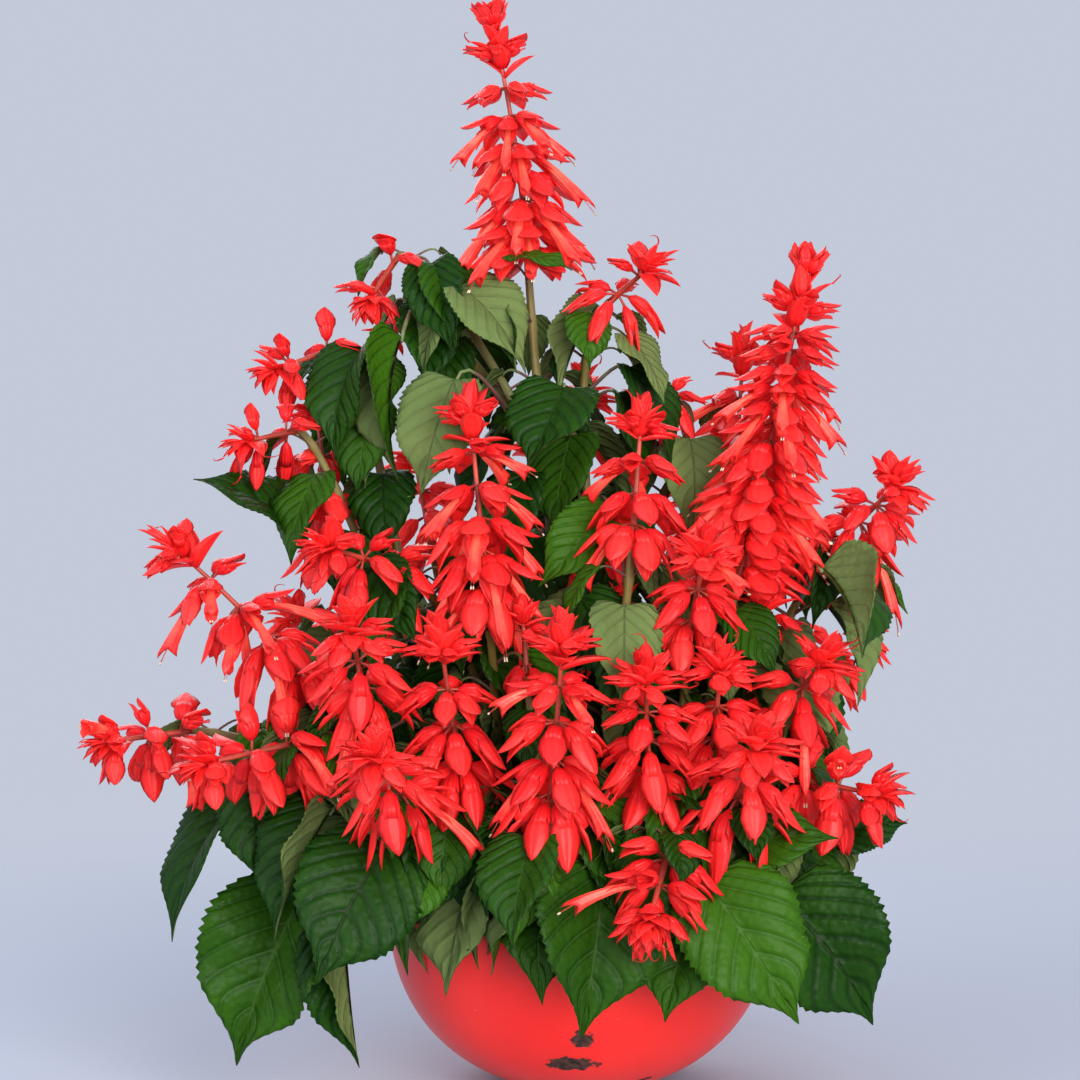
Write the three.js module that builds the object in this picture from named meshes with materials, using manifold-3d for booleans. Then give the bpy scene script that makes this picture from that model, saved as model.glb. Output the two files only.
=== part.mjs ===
// Scarlet salvia (Salvia splendens) planted in a round painted metal bowl.
// Millimetres, +Z up. The origin is the centre of the bowl's flat foot; the fullest side of the
// planting faces -Y. Seventeen leafy plants stand in plain holes in the soil, and each flower spike
// is a solid of its own, seated on the end of the stem that carries it.
import * as THREE from "three";
import { mergeVertices } from "three/addons/utils/BufferGeometryUtils.js";
import Module from "manifold-3d";

const wasm = await Module();
wasm.setup();

// ---------------------------------------------------------------- driving dimensions
const BOWL = { rim: 87, height: 82, wall: 2.2, foot: 27, squareness: 2.2, sides: 24 };
const SOIL = { edge: 70, crown: 76, gap: 0.3 };
const STEM = { width: 3.8, shoot: 3, sunk: 22, steps: 4, sideSteps: 3, hole: 0.7 };
const RACHIS = { width: 2.6, bowedSteps: 3, gap: 0.3 };
const PETIOLE = { width: 2, start: 0.6 };
const LEAF = { thick: 1.3, aspect: 0.74, arch: 0.07, fold: 0.2, curl: 0.22, lobe: 0.1, clear: 3 };
const CALYX = { width: 0.6, ring: 0.56, mouth: 0.9, lower: 0.94, young: 0.62, bud: 0.62, stalk: 3 };
const COROLLA = { length: 1.75, width: 0.27, ring: 0.8, mouth: 1.1, start: 0.35, sag: 0.3, youngest: 0.25 };
const CLEARANCE = 0.35; // between any two nodes

// How the flowers stand round a spike, in degrees: their rise over the level at its tip and at its
// foot, the turn from whorl to whorl, and how far each one strays; then how heavily the lowest hang.
const WHORL = { flowers: 6, tipRise: 68, footRise: -14, turn: 40, strayTurn: 22, strayRise: 14 };
const HANG = { least: 0.1, perWhorl: 0.125 };
const DEFAULT_OPEN = 0.2; // share of the grown flowers whose corolla is out

// How a leaf stands on its stem: the stalk's length, its rise, and the droop of the blade in degrees.
const STANCE = { stalk: 8, stalkPerLength: 0.2, rise: 0.35, droop: 48, strayDroop: 26, strayTurn: 50 };
const FORKS = { crown: 0.6, side: 0.3, shoot: 0.16 }; // where side branches leave a plant's first stem

const COLOURS = {
  bowl: { color: 0xd92420, roughness: 0.38, metalness: 0.1 },
  soil: { color: 0x3a2a20, roughness: 0.95, metalness: 0 },
  plant: { color: 0x2f6b2c, roughness: 0.6, metalness: 0 },
  spike: { color: 0xf0342f, roughness: 0.6, metalness: 0 },
};

// ---------------------------------------------------------------- the planting
// A plant is named for where it stands: its foot in the soil.
const PLANTS = {
  crown: [-6, 14],
  lamp: [16, 4],
  tower: [46, -14],
  east: [66, -4],
  high_west: [-40, 10],
  west: [-64, -8],
  low_west: [-56, -36],
  centre: [-24, -20],
  middle: [4, -24],
  front_left: [-34, -52],
  front: [-8, -58],
  front_right: [18, -58],
  right: [42, -44],
  low_east: [64, -30],
  back_left: [-36, 44],
  back: [2, 48],
  back_right: [40, 40],
};

// A spike: its plant, the ends of its axis, its whorls of flowers and the length of its lowest calyx.
// bow shifts the middle of the axis.
const SPIKES = {
  crown: { plant: "crown", base: [-24, 5, 369], tip: [-41, 0, 479], whorls: 9, calyx: 20, open: 0.8, bow: [5, 0, 0] },
  left_nod: { plant: "crown", base: [-83, 15, 372], tip: [-96, -2, 350], whorls: 2, calyx: 19 },
  left_bud: { plant: "crown", base: [-82, 32, 349], tip: [-90, 26, 335], whorls: 1, calyx: 15 },
  right_nod: { plant: "lamp", base: [13, -5, 351], tip: [31, -27, 366], whorls: 2, calyx: 20 },
  inner: { plant: "lamp", base: [2, 42, 285], tip: [1, 48, 318], whorls: 2, calyx: 18 },
  small_bud: { plant: "lamp", base: [46, 30, 306], tip: [31, 22, 311], whorls: 1, calyx: 15 },
  tower: { plant: "tower", base: [68, -40, 228], tip: [102, 0, 371], whorls: 9, calyx: 22, open: 0.7, bow: [2, 3, 0] },
  tower_back: { plant: "tower", base: [70, 25, 250], tip: [76, 42, 336], whorls: 5, calyx: 21, open: 0.5 },
  east: { plant: "east", base: [113, -20, 243], tip: [138, -55, 273], whorls: 4, calyx: 21 },
  east_low: { plant: "east", base: [90, -22, 198], tip: [76, -44, 219], whorls: 2, calyx: 19 },
  high_west: { plant: "high_west", base: [-111, -5, 242], tip: [-121, 15, 309], whorls: 4, calyx: 21 },
  west_side: { plant: "high_west", base: [-127, -15, 293], tip: [-150, -32, 288], whorls: 2, calyx: 18 },
  west_nod: { plant: "high_west", base: [-109, 10, 331], tip: [-141, -10, 319], whorls: 2, calyx: 18 },
  west: { plant: "west", base: [-119, -60, 186], tip: [-178, -75, 247], whorls: 5, calyx: 22, open: 0.8, bow: [0, 0, 6] },
  far_west: { plant: "west", base: [-171, -40, 162], tip: [-208, -60, 159], whorls: 3, calyx: 19 },
  low_west: { plant: "low_west", base: [-120, -85, 162], tip: [-161, -112, 155], whorls: 3, calyx: 22 },
  left_face: { plant: "low_west", base: [-92, -90, 182], tip: [-95, -138, 218], whorls: 3, calyx: 21 },
  middle_left: { plant: "centre", base: [-79, -50, 233], tip: [-112, -80, 245], whorls: 3, calyx: 20 },
  centre: { plant: "centre", base: [-41, -72, 224], tip: [-49, -55, 306], whorls: 6, calyx: 22, open: 0.5 },
  middle: { plant: "middle", base: [21, -70, 249], tip: [25, -60, 301], whorls: 4, calyx: 20 },
  middle_low: { plant: "middle", base: [19, -34, 199], tip: [16, -50, 218], whorls: 2, calyx: 18 },
  front_left: { plant: "front_left", base: [-52, -92, 150], tip: [-60, -110, 211], whorls: 4, calyx: 21 },
  left_low: { plant: "front_left", base: [-74, -112, 142], tip: [-87, -158, 166], whorls: 3, calyx: 21 },
  front: { plant: "front", base: [-14, -118, 140], tip: [-9, -135, 214], whorls: 5, calyx: 22, open: 0.5 },
  front_bud: { plant: "front", base: [-24, -82, 190], tip: [-26, -82, 217], whorls: 2, calyx: 15 },
  front_right: { plant: "front_right", base: [27, -95, 149], tip: [24, -125, 197], whorls: 4, calyx: 21 },
  nodding: { plant: "front_right", base: [34, -122, 122], tip: [24, -150, 94], whorls: 3, calyx: 20 },
  right: { plant: "right", base: [54, -88, 160], tip: [57, -100, 200], whorls: 3, calyx: 20 },
  right_low: { plant: "right", base: [62, -104, 138], tip: [70, -150, 172], whorls: 3, calyx: 22 },
  right_high: { plant: "right", base: [45, -75, 209], tip: [51, -95, 247], whorls: 3, calyx: 20 },
  east_face: { plant: "low_east", base: [84, -62, 172], tip: [103, -90, 199], whorls: 3, calyx: 21 },
  far_east: { plant: "low_east", base: [90, -78, 146], tip: [126, -100, 141], whorls: 3, calyx: 21 },
  back_high: { plant: "back", base: [-14, 92, 236], tip: [-20, 108, 292], whorls: 4, calyx: 21 },
  back_low: { plant: "back", base: [14, 118, 176], tip: [18, 156, 196], whorls: 3, calyx: 21 },
  back_left_high: { plant: "back_left", base: [-70, 78, 236], tip: [-80, 94, 284], whorls: 4, calyx: 21 },
  back_left: { plant: "back_left", base: [-108, 74, 182], tip: [-142, 92, 206], whorls: 3, calyx: 21 },
  back_left_low: { plant: "back_left", base: [-58, 112, 148], tip: [-78, 148, 162], whorls: 3, calyx: 20 },
  back_right_high: { plant: "back_right", base: [58, 80, 232], tip: [66, 98, 284], whorls: 4, calyx: 21 },
  back_right: { plant: "back_right", base: [104, 62, 176], tip: [140, 78, 200], whorls: 3, calyx: 21 },
  back_right_low: { plant: "back_right", base: [62, 110, 138], tip: [78, 146, 150], whorls: 3, calyx: 20 },
};

// A leafy shoot without a flower, which bends out over the rim.
const SHOOTS = {
  west_skirt: { plant: "west", end: [-112, -30, 128], heading: [-1, -0.3, -0.2] },
  low_west_skirt: { plant: "low_west", end: [-92, -72, 122], heading: [-1, -0.8, -0.3] },
  low_east_skirt: { plant: "low_east", end: [96, -58, 118], heading: [1, -0.5, -0.1] },
  right_skirt: { plant: "right", end: [52, -92, 108], heading: [0.4, -1, -0.2] },
  front_skirt: { plant: "front", end: [2, -94, 108], heading: [0, -1, -0.1] },
  back_skirt: { plant: "back", end: [0, 98, 106], heading: [0, 1, -0.2] },
  back_left_skirt: { plant: "back_left", end: [-84, 66, 110], heading: [-1, 0.7, -0.2] },
  back_right_skirt: { plant: "back_right", end: [88, 62, 106], heading: [1, 0.7, -0.2] },
};

// Large leaves that hang where the plant shows most: the stem that carries each one, where along
// that stem, the ends of its blade, the way its upper side faces and its width over its length.
const LARGE_LEAVES = [
  ["high_west", 0.86, [-122, -12, 248], [-168, -32, 275], [0.1, -0.8, 0.6], 0.72],
  ["west_skirt", 0.95, [-150, -46, 134], [-178, -72, 78], [-0.6, -0.8, 0.3], 0.66],
  ["west_skirt", 0.8, [-134, -66, 150], [-136, -88, 100], [-0.3, -0.9, 0.35], 0.8],
  ["low_west_skirt", 0.9, [-106, -88, 134], [-130, -106, 84], [-0.3, -0.9, 0.35], 0.8],
  ["low_west_skirt", 0.96, [-82, -104, 120], [-112, -128, 70], [-0.25, -0.9, 0.35], 0.86],
  ["west_skirt", 0.97, [-122, -52, 92], [-150, -70, 22], [-0.2, -0.95, 0.2], 0.88],
  ["low_west_skirt", 0.98, [-102, -70, 86], [-94, -84, 24], [-0.1, -0.98, 0.1], 0.72],
  ["front_left", 0.5, [-66, -102, 116], [-73, -120, 88], [0.1, -0.9, 0.4], 0.78],
  ["front_skirt", 0.95, [8, -108, 112], [1, -132, 48], [0, -0.96, 0.25], 0.92],
  ["front_skirt", 0.85, [-18, -104, 112], [-33, -116, 68], [-0.85, -0.4, 0.3], 0.8],
  ["right_skirt", 0.9, [50, -116, 108], [84, -128, 50], [0.2, -0.95, 0.3], 0.78],
  ["right_skirt", 0.98, [44, -104, 94], [30, -120, 52], [0.1, -0.95, 0.25], 0.92],
  ["low_east_skirt", 0.92, [82, -92, 98], [124, -98, 46], [0.25, -0.9, 0.35], 0.9],
  ["right_skirt", 0.9, [56, -92, 116], [102, -112, 130], [0, -0.8, 0.6], 0.72],
  ["low_east_skirt", 0.97, [108, -60, 118], [140, -58, 126], [0.2, -0.6, 0.8], 0.8],
  ["east", 0.75, [98, -48, 228], [106, -94, 186], [0.5, -0.5, 0.6], 0.72],
  ["east", 0.82, [108, -14, 232], [134, -22, 206], [0.8, -0.3, 0.5], 0.8],
  ["crown", 0.9, [-54, -10, 357], [-24, -26, 322], [0.2, -0.7, 0.6], 0.72],
  ["crown", 0.97, [-31, -14, 371], [-6, -32, 364], [0.1, -0.5, 0.9], 0.6],
  ["left_nod", 0.86, [-68, 2, 368], [-58, -22, 328], [0, -0.9, 0.4], 0.62],
  ["left_nod", 0.7, [-80, -12, 335], [-86, -34, 274], [-0.5, -0.8, 0.3], 0.68],
  ["left_bud", 0.72, [-96, -4, 330], [-110, -20, 282], [-0.8, -0.6, 0.2], 0.72],
  ["crown", 0.66, [-58, -36, 318], [-74, -52, 270], [-0.4, -0.8, 0.4], 0.72],
  ["crown", 0.72, [-8, -26, 312], [-22, -54, 276], [0.1, -0.85, 0.5], 0.86],
  ["right_nod", 0.85, [8, 10, 350], [-10, -6, 308], [-0.6, -0.7, 0.3], 0.6],
  ["right_nod", 0.9, [20, -2, 336], [38, -14, 306], [0.6, -0.7, 0.4], 0.72],
  ["right_nod", 0.72, [22, 4, 322], [42, -10, 276], [0.6, -0.7, 0.3], 0.66],
];

// Leaf pairs that every stem carries besides the large ones: where along it, and their length.
const MAIN_PAIRS = [
  [0.52, 58],
  [0.8, 46],
];
const SIDE_PAIRS = [[0.7, 46]];
const SKIRT_PAIRS = [[0.72, 50]];
const TURNS = [0, 22, -22, 45, -45, 68, -68, 90]; // degrees a leaf may turn round its stem to hang free
const LEAF_SHIFTS = [0, 4, -4, 8, -8, 12, -12, 18]; // mm a large leaf may be swung in or out to hang free
const ROOT_SHIFTS = [0, 0.08, -0.08, 0.16, -0.16, -0.25]; // share of the stem a large leaf's stalk may be moved
const FLOWER_LIFTS = [0, 14, 28, -14]; // degrees a flower may be raised to stand clear

// ---------------------------------------------------------------- small helpers
const Z = new THREE.Vector3(0, 0, 1);
const vec = ([x, y, z]) => new THREE.Vector3(x, y, z);
const degrees = (angle) => (angle * Math.PI) / 180;
const mix = (a, b, t) => a + (b - a) * t;

// A repeatable number from 0 to 1 for each seed.
function chance(seed) {
  const wave = Math.sin(seed * 12.9898 + 4.1414) * 43758.5453;
  return wave - Math.floor(wave);
}

// A closed solid from points and triangles, turned face outwards.
function solidFrom(points, triangles) {
  const vertProperties = new Float32Array(points.flatMap((p) => [p.x, p.y, p.z]));
  const triVerts = new Uint32Array(triangles.flat());
  const made = new wasm.Manifold(new wasm.Mesh({ numProp: 3, vertProperties, triVerts }));
  if (made.volume() > 0) return made;
  const turned = new Uint32Array(triangles.flatMap(([a, b, c]) => [a, c, b]));
  return new wasm.Manifold(new wasm.Mesh({ numProp: 3, vertProperties, triVerts: turned }));
}

// A three.js geometry as a solid.
function solidOf(geometry) {
  geometry.deleteAttribute("normal");
  geometry.deleteAttribute("uv");
  const merged = mergeVertices(geometry, 1e-4);
  const index = merged.index.array;
  const position = merged.getAttribute("position");
  const points = Array.from({ length: position.count }, (_, i) => new THREE.Vector3().fromBufferAttribute(position, i));
  const triangles = [];
  for (let i = 0; i < index.length; i += 3) {
    triangles.push([index[i], index[i + 1], index[i + 2]]);
  }
  return solidFrom(points, triangles);
}

// A solid back as a three.js geometry.
function geometryOf(solid) {
  const mesh = solid.getMesh();
  const geometry = new THREE.BufferGeometry();
  geometry.setAttribute("position", new THREE.BufferAttribute(new Float32Array(mesh.vertProperties), 3));
  geometry.setIndex(new THREE.BufferAttribute(new Uint32Array(mesh.triVerts), 1));
  geometry.computeVertexNormals();
  return geometry;
}

// A rod of regular section along a curve.
function rod(curve, width, sides, steps) {
  const corners = Array.from({ length: sides }, (_, i) => {
    const angle = (2 * Math.PI * (i + 0.5)) / sides;
    return new THREE.Vector2(Math.cos(angle), Math.sin(angle)).multiplyScalar(width * Math.SQRT1_2);
  });
  const section = new THREE.Shape(corners);
  return solidOf(new THREE.ExtrudeGeometry(section, { steps, bevelEnabled: false, extrudePath: curve }));
}

// A profile of radius and height turned round the upright axis.
const turned = (profile) => solidOf(new THREE.LatheGeometry(profile, BOWL.sides).rotateX(Math.PI / 2));

// The larger body of a solid, without the scraps a join can leave.
const mainBody = (solid) =>
  solid.decompose().reduce((best, body) => (body.volume() > best.volume() ? body : best));

// ---------------------------------------------------------------- the room that is taken
const taken = []; // every placed piece: its node, its solid and its box

function boxesNear(a, b) {
  return [0, 1, 2].every((k) => a.min[k] < b.max[k] + CLEARANCE && b.min[k] < a.max[k] + CLEARANCE);
}

// Whether a solid stands clear of all that is placed, leaving out the pieces of one node.
function isClear(solid, exceptNode) {
  const box = solid.boundingBox();
  return !taken.some(
    (piece) =>
      piece.node !== exceptNode &&
      boxesNear(piece.box, box) &&
      piece.solid.minGap(solid, CLEARANCE) < CLEARANCE,
  );
}

function take(node, solid) {
  taken.push({ node, solid, box: solid.boundingBox() });
  return solid;
}

// ---------------------------------------------------------------- bowl and soil
// The bowl's outside: a rounded hemisphere, a little square in section, cut flat at its foot.
function bowlProfile(inset, steps) {
  const power = 2 / BOWL.squareness;
  const start = Math.asin((BOWL.foot / BOWL.rim) ** (1 / power));
  const drop = BOWL.height * (1 - Math.cos(start) ** power);
  return Array.from({ length: steps + 1 }, (_, i) => {
    const angle = mix(start, Math.PI / 2, i / steps);
    const radius = BOWL.rim * Math.sin(angle) ** power - inset;
    const height = BOWL.height * (1 - Math.cos(angle) ** power) - drop + inset * Math.cos(angle);
    return new THREE.Vector2(radius, height);
  });
}

const INSIDE_STEPS = 4; // the soil's underside follows the same steps as the bowl's inside

function bowlSolid() {
  const outside = bowlProfile(0, 6);
  const inside = bowlProfile(BOWL.wall, INSIDE_STEPS).reverse();
  const profile = [new THREE.Vector2(0, 0), ...outside, ...inside, new THREE.Vector2(0, inside.at(-1).y)];
  return turned(profile);
}

function soilSolid() {
  const inside = bowlProfile(BOWL.wall + SOIL.gap, INSIDE_STEPS).filter((point) => point.y < SOIL.edge - 4);
  const edge = new THREE.Vector2(inside.at(-1).x + 1.5, SOIL.edge);
  const crown = [new THREE.Vector2(SOIL.edge * 0.6, SOIL.crown - 1), new THREE.Vector2(0, SOIL.crown)];
  const profile = [new THREE.Vector2(0, inside[0].y), ...inside, edge, ...crown];
  return turned(profile);
}

// ---------------------------------------------------------------- stems
// A spike's axis, bowed by its own shift, and the way it sets out.
function spikeAxis(spike) {
  const base = vec(spike.base);
  const tip = vec(spike.tip);
  const middle = base.clone().lerp(tip, 0.5).add(vec(spike.bow ?? [0, 0, 0]));
  return new THREE.QuadraticBezierCurve3(base, middle, tip);
}

// A stem rises from its foot and arrives at its end along the way that end points. Where it is a
// side branch it leaves the plant's first stem, a share of the way along it.
function stemCurve(plant, end, heading, trunk, fork) {
  const foot = new THREE.Vector3(...PLANTS[plant], SOIL.crown - STEM.sunk);
  const start = trunk ? trunk.getPoint(fork) : foot;
  const away = trunk ? trunk.getTangent(fork) : Z.clone();
  const span = start.distanceTo(end);
  const reach = 14 + 0.26 * span * Math.max(0, heading.z);
  const rise = trunk ? 0.3 * span : 0.5 * span;
  return new THREE.CubicBezierCurve3(
    start,
    start.clone().addScaledVector(away, rise),
    end.clone().addScaledVector(heading, -reach),
    end,
  );
}

// ---------------------------------------------------------------- leaves
// A blade's frame: along its chord, across it, and out of its upper side.
function bladeFrame({ base, tip, facing, aspect }) {
  const chord = tip.clone().sub(base);
  const length = chord.length();
  const along = chord.clone().normalize();
  const across = facing.clone().cross(along).normalize();
  const up = along.clone().cross(across);
  return { base, length, along, across, up, half: (length * aspect) / 2 };
}

// Half width over the half width at its fullest: broad and rounded near the base, drawn out at the tip.
const bladeWidth = (u) => Math.sin(Math.PI * u ** 0.6) ** 0.82 * (1 - 0.25 * u ** 3);

// A point of the blade: u runs from its base to its tip, v from edge to edge. The blade arches along
// its length, folds up from the midrib, curls down at its edges and runs back in a lobe by the stalk.
function bladePoint(frame, u, v) {
  const { base, length, along, across, up, half } = frame;
  const out = Math.abs(v) * bladeWidth(u) * half;
  const back = LEAF.lobe * Math.abs(v) * (1 - u) ** 4;
  const lift = LEAF.arch * length * 4 * u * (1 - u) + LEAF.fold * out - LEAF.curl * Math.abs(v) * out;
  return base
    .clone()
    .addScaledVector(along, (u - back) * length)
    .addScaledVector(across, Math.sign(v) * out)
    .addScaledVector(up, lift);
}

// Stations along the blade, each with how far out its edge reaches: in and out, as coarse teeth.
const LARGE_BLADE = [
  [0.07, 1],
  [0.3, 0.92],
  [0.52, 1.07],
  [0.76, 0.9],
];
const SMALL_BLADE = [
  [0.1, 1],
  [0.4, 1],
  [0.72, 1],
];

// The four corners of a leaf's section: its left edge, its upper side, its right edge and its lower side.
function sectionRing(centre, left, up, halfWidth, halfDepth) {
  return [
    centre.clone().addScaledVector(left, halfWidth),
    centre.clone().addScaledVector(up, halfDepth),
    centre.clone().addScaledVector(left, -halfWidth),
    centre.clone().addScaledVector(up, -halfDepth),
  ];
}

function bladeRings(frame, stations) {
  return stations.map(([u, reach]) => {
    const middle = bladePoint(frame, u, 0);
    return [
      bladePoint(frame, u, reach),
      middle.clone().addScaledVector(frame.up, LEAF.thick / 2),
      bladePoint(frame, u, -reach),
      middle.clone().addScaledVector(frame.up, -LEAF.thick / 2),
    ];
  });
}

// The stalk's two rings: one inside the stem, one mitred where the stalk turns into the blade.
function stalkRings(leaf, frame) {
  const ahead = leaf.base.clone().sub(leaf.root).normalize();
  const turning = ahead.clone().add(frame.along).normalize();
  const squareTo = (way, side) => side.clone().addScaledVector(way, -side.dot(way)).normalize();
  const leftAtBase = squareTo(turning, frame.across);
  const leftAtRoot = squareTo(ahead, leftAtBase);
  const half = PETIOLE.width / 2;
  const inStem = leaf.root.clone().addScaledVector(ahead, PETIOLE.start);
  return [
    sectionRing(inStem, leftAtRoot, ahead.clone().cross(leftAtRoot), half, half),
    sectionRing(leaf.base, leftAtBase, turning.clone().cross(leftAtBase), half, half),
  ];
}

// A closed solid through rings of four corners, from a flat end to a point. Each side is split from
// its edge corner, so that the upper and lower faces of a waved blade are split alike.
function taperedSolid(rings, point) {
  const triangles = [
    [0, 1, 2],
    [0, 2, 3],
  ];
  const last = 4 * rings.length;
  for (let ring = 0; ring < last; ring += 4) {
    for (let corner = 0; corner < 4; corner++) {
      const [a, b] = [ring + corner, ring + ((corner + 1) % 4)];
      const [next, nextB] = [a + 4, b + 4];
      if (ring === last - 4) {
        triangles.push([a, last, b]);
      } else if (corner % 2) {
        triangles.push([a, next, b], [next, nextB, b]);
      } else {
        triangles.push([a, nextB, b], [a, next, nextB]);
      }
    }
  }
  return solidFrom([...rings.flat(), point], triangles);
}

// A leaf's blade alone, and the whole leaf with the stalk that starts inside its stem.
function bladeSolid(leaf) {
  const frame = bladeFrame(leaf);
  return taperedSolid(bladeRings(frame, leaf.stations), bladePoint(frame, 1, 0));
}

function leafSolid(leaf) {
  const frame = bladeFrame(leaf);
  const rings = [...stalkRings(leaf, frame), ...bladeRings(frame, leaf.stations)];
  return taperedSolid(rings, bladePoint(frame, 1, 0));
}

// A leaf on a stem: its stalk sets out along the compass angle, and its blade hangs from the stalk's end.
function leafOnStem(curve, share, compass, length, droop) {
  const root = curve.getPoint(share);
  const out = new THREE.Vector3(Math.cos(compass), Math.sin(compass), 0);
  const stalk = STANCE.stalk + STANCE.stalkPerLength * length;
  const base = root.clone().addScaledVector(out, stalk).addScaledVector(Z, STANCE.rise * stalk);
  const along = out.clone().multiplyScalar(Math.cos(droop)).addScaledVector(Z, -Math.sin(droop));
  const facing = out.clone().multiplyScalar(Math.sin(droop)).addScaledVector(Z, Math.cos(droop));
  const tip = base.clone().addScaledVector(along, length);
  return { root, base, tip, facing, aspect: LEAF.aspect, stations: SMALL_BLADE };
}

// ---------------------------------------------------------------- flowers
// A bell with two pointed lips, the shape of a calyx and, drawn out, of a corolla.
function bellSolid(root, along, length, { half, ring, mouth }) {
  const side = along.clone().cross(Z).normalize();
  const up = side.clone().cross(along);
  const at = (share, rise, swing) =>
    root
      .clone()
      .addScaledVector(along, share * length)
      .addScaledVector(up, rise * half)
      .addScaledVector(side, swing * half);
  const points = [
    root,
    at(ring, 0.45, 1),
    at(ring, 0.45, -1),
    at(ring, -1, 0),
    at(1, mouth, 0),
    at(CALYX.lower, -mouth, 0),
  ];
  return solidFrom(points, [
    [0, 2, 1],
    [0, 1, 3],
    [0, 3, 2],
    [1, 2, 4],
    [3, 1, 5],
    [2, 3, 5],
    [1, 4, 5],
    [4, 2, 5],
  ]);
}

// Where each flower of a spike sits: its seed, its place, the way it points and its age,
// which runs from 1 at the foot of the spike to 0 at its tip.
function flowerPlaces(spike, order, lift) {
  const axis = spikeAxis(spike);
  const places = [];
  for (let whorl = 0; whorl < spike.whorls; whorl++) {
    const share = (whorl + 0.35) / spike.whorls;
    const age = 1 - whorl / Math.max(spike.whorls - 0.3, 1);
    const weight = Math.sqrt(age);
    const root = axis.getPoint(share);
    const ahead = axis.getTangent(share);
    const east = new THREE.Vector3(1, 0, 0).addScaledVector(ahead, -ahead.x).normalize();
    const north = ahead.clone().cross(east);
    for (let flower = 0; flower < WHORL.flowers; flower++) {
      const seed = order * 100 + whorl * 10 + flower;
      const spread = (360 / WHORL.flowers) * flower + WHORL.turn * whorl;
      const turn = degrees(spread + WHORL.strayTurn * (chance(seed) - 0.5));
      const level = mix(WHORL.tipRise, WHORL.footRise, weight);
      const rise = degrees(level + lift + WHORL.strayRise * (chance(seed + 0.3) - 0.5));
      const out = east.clone().multiplyScalar(Math.cos(turn)).addScaledVector(north, Math.sin(turn));
      const along = out.multiplyScalar(Math.cos(rise)).addScaledVector(ahead, Math.sin(rise));
      along.addScaledVector(Z, -(HANG.least + HANG.perWhorl * spike.whorls) * weight).normalize();
      const grown = mix(CALYX.young, 1, Math.min(1, 1.5 * age));
      const length = spike.calyx * grown + CALYX.stalk * (1 + age);
      places.push({ seed, whorl, flower, root, along, length, age });
    }
  }
  return places;
}

// The corolla of an open flower comes out of the calyx and sags a little.
function corollaSolid({ root, along, length }) {
  const sagging = along.clone().addScaledVector(Z, -COROLLA.sag).normalize();
  const start = root.clone().addScaledVector(along, COROLLA.start * length);
  const reach = COROLLA.length * length;
  const shape = { half: (COROLLA.width * length) / 2, ring: COROLLA.ring, mouth: COROLLA.mouth };
  return bellSolid(start, sagging, reach, shape);
}

function calyxSolid({ root, along, length }) {
  const shape = { half: (CALYX.width * length) / 2, ring: CALYX.ring, mouth: CALYX.mouth };
  return bellSolid(root, along, length, shape);
}

// ---------------------------------------------------------------- build
const group = new THREE.Group();

function addMesh(name, solid, colour) {
  const mesh = new THREE.Mesh(geometryOf(solid), new THREE.MeshStandardMaterial(COLOURS[colour]));
  mesh.name = name;
  group.add(mesh);
}

const pieces = {}; // node name to the solids that are fused into it

function place(node, solid) {
  (pieces[node] ??= []).push(take(node, solid));
}

// Stems first, then each spike's own axis. A plant's first stem is the one that stands in the soil.
const stems = {}; // stem name to its curve
const stemPlants = {}; // stem name to its plant
let soil = soilSolid();
const firstStem = (plant) => Object.keys(stemPlants).find((stem) => stemPlants[stem] === plant);

function addStem(name, plant, end, heading, width, fork) {
  const trunk = firstStem(plant);
  const curve = stemCurve(plant, end, heading, trunk && stems[trunk], fork);
  stems[name] = curve;
  stemPlants[name] = plant;
  const steps = trunk && heading.z > 0.4 ? STEM.sideSteps : STEM.steps;
  place(`plant_${plant}`, rod(curve, width, 4, steps));
  if (!trunk) {
    soil = soil.subtract(rod(curve, width + 2 * STEM.hole, 4, STEM.steps));
  }
}

for (const [name, spike] of Object.entries(SPIKES)) {
  const axis = spikeAxis(spike);
  const heading = axis.getTangent(0);
  const end = vec(spike.base).addScaledVector(heading, -RACHIS.gap);
  addStem(name, spike.plant, end, heading, STEM.width, FORKS[spike.plant] ?? FORKS.side);
  place(`spike_${name}`, rod(axis, RACHIS.width, 3, spike.bow ? RACHIS.bowedSteps : 1));
}
for (const [name, shoot] of Object.entries(SHOOTS)) {
  addStem(name, shoot.plant, vec(shoot.end), vec(shoot.heading).normalize(), STEM.shoot, FORKS.shoot);
}
const bowl = bowlSolid();
take("bowl", bowl);
take("soil", soil);

// The bud at the tip of each spike.
for (const [name, spike] of Object.entries(SPIKES)) {
  const axis = spikeAxis(spike);
  const length = CALYX.bud * spike.calyx + CALYX.stalk;
  place(`spike_${name}`, calyxSolid({ root: axis.getPoint(0.93), along: axis.getTangent(1), length }));
}

// Leaves: each is swung until it hangs clear, or left out where it can't. Where it may cross, a
// leaf that clears every other plant is kept although it meets a leaf of its own plant.
function addLeaf(node, choices, mayCross) {
  const hangs = choices.filter((leaf) => leafSolid(leaf).boundingBox().min[2] > LEAF.clear);
  const free = hangs.filter((leaf) => isClear(leafSolid(leaf), node));
  const best = free.find((leaf) => isClear(bladeSolid(leaf))) ?? (mayCross && free[0]);
  if (best) place(node, leafSolid(best));
}

for (const [stem, share, base, tip, facing, aspect] of LARGE_LEAVES) {
  const upper = vec(facing).normalize();
  const choices = ROOT_SHIFTS.flatMap((along) =>
    LEAF_SHIFTS.map((shift) => ({
      root: stems[stem].getPoint(Math.min(share + along, 0.98)),
      base: vec(base).addScaledVector(upper, shift / 2),
      tip: vec(tip).addScaledVector(upper, shift),
      facing: upper,
      aspect,
      stations: LARGE_BLADE,
    })),
  );
  addLeaf(`plant_${stemPlants[stem]}`, choices, true);
}

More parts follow.
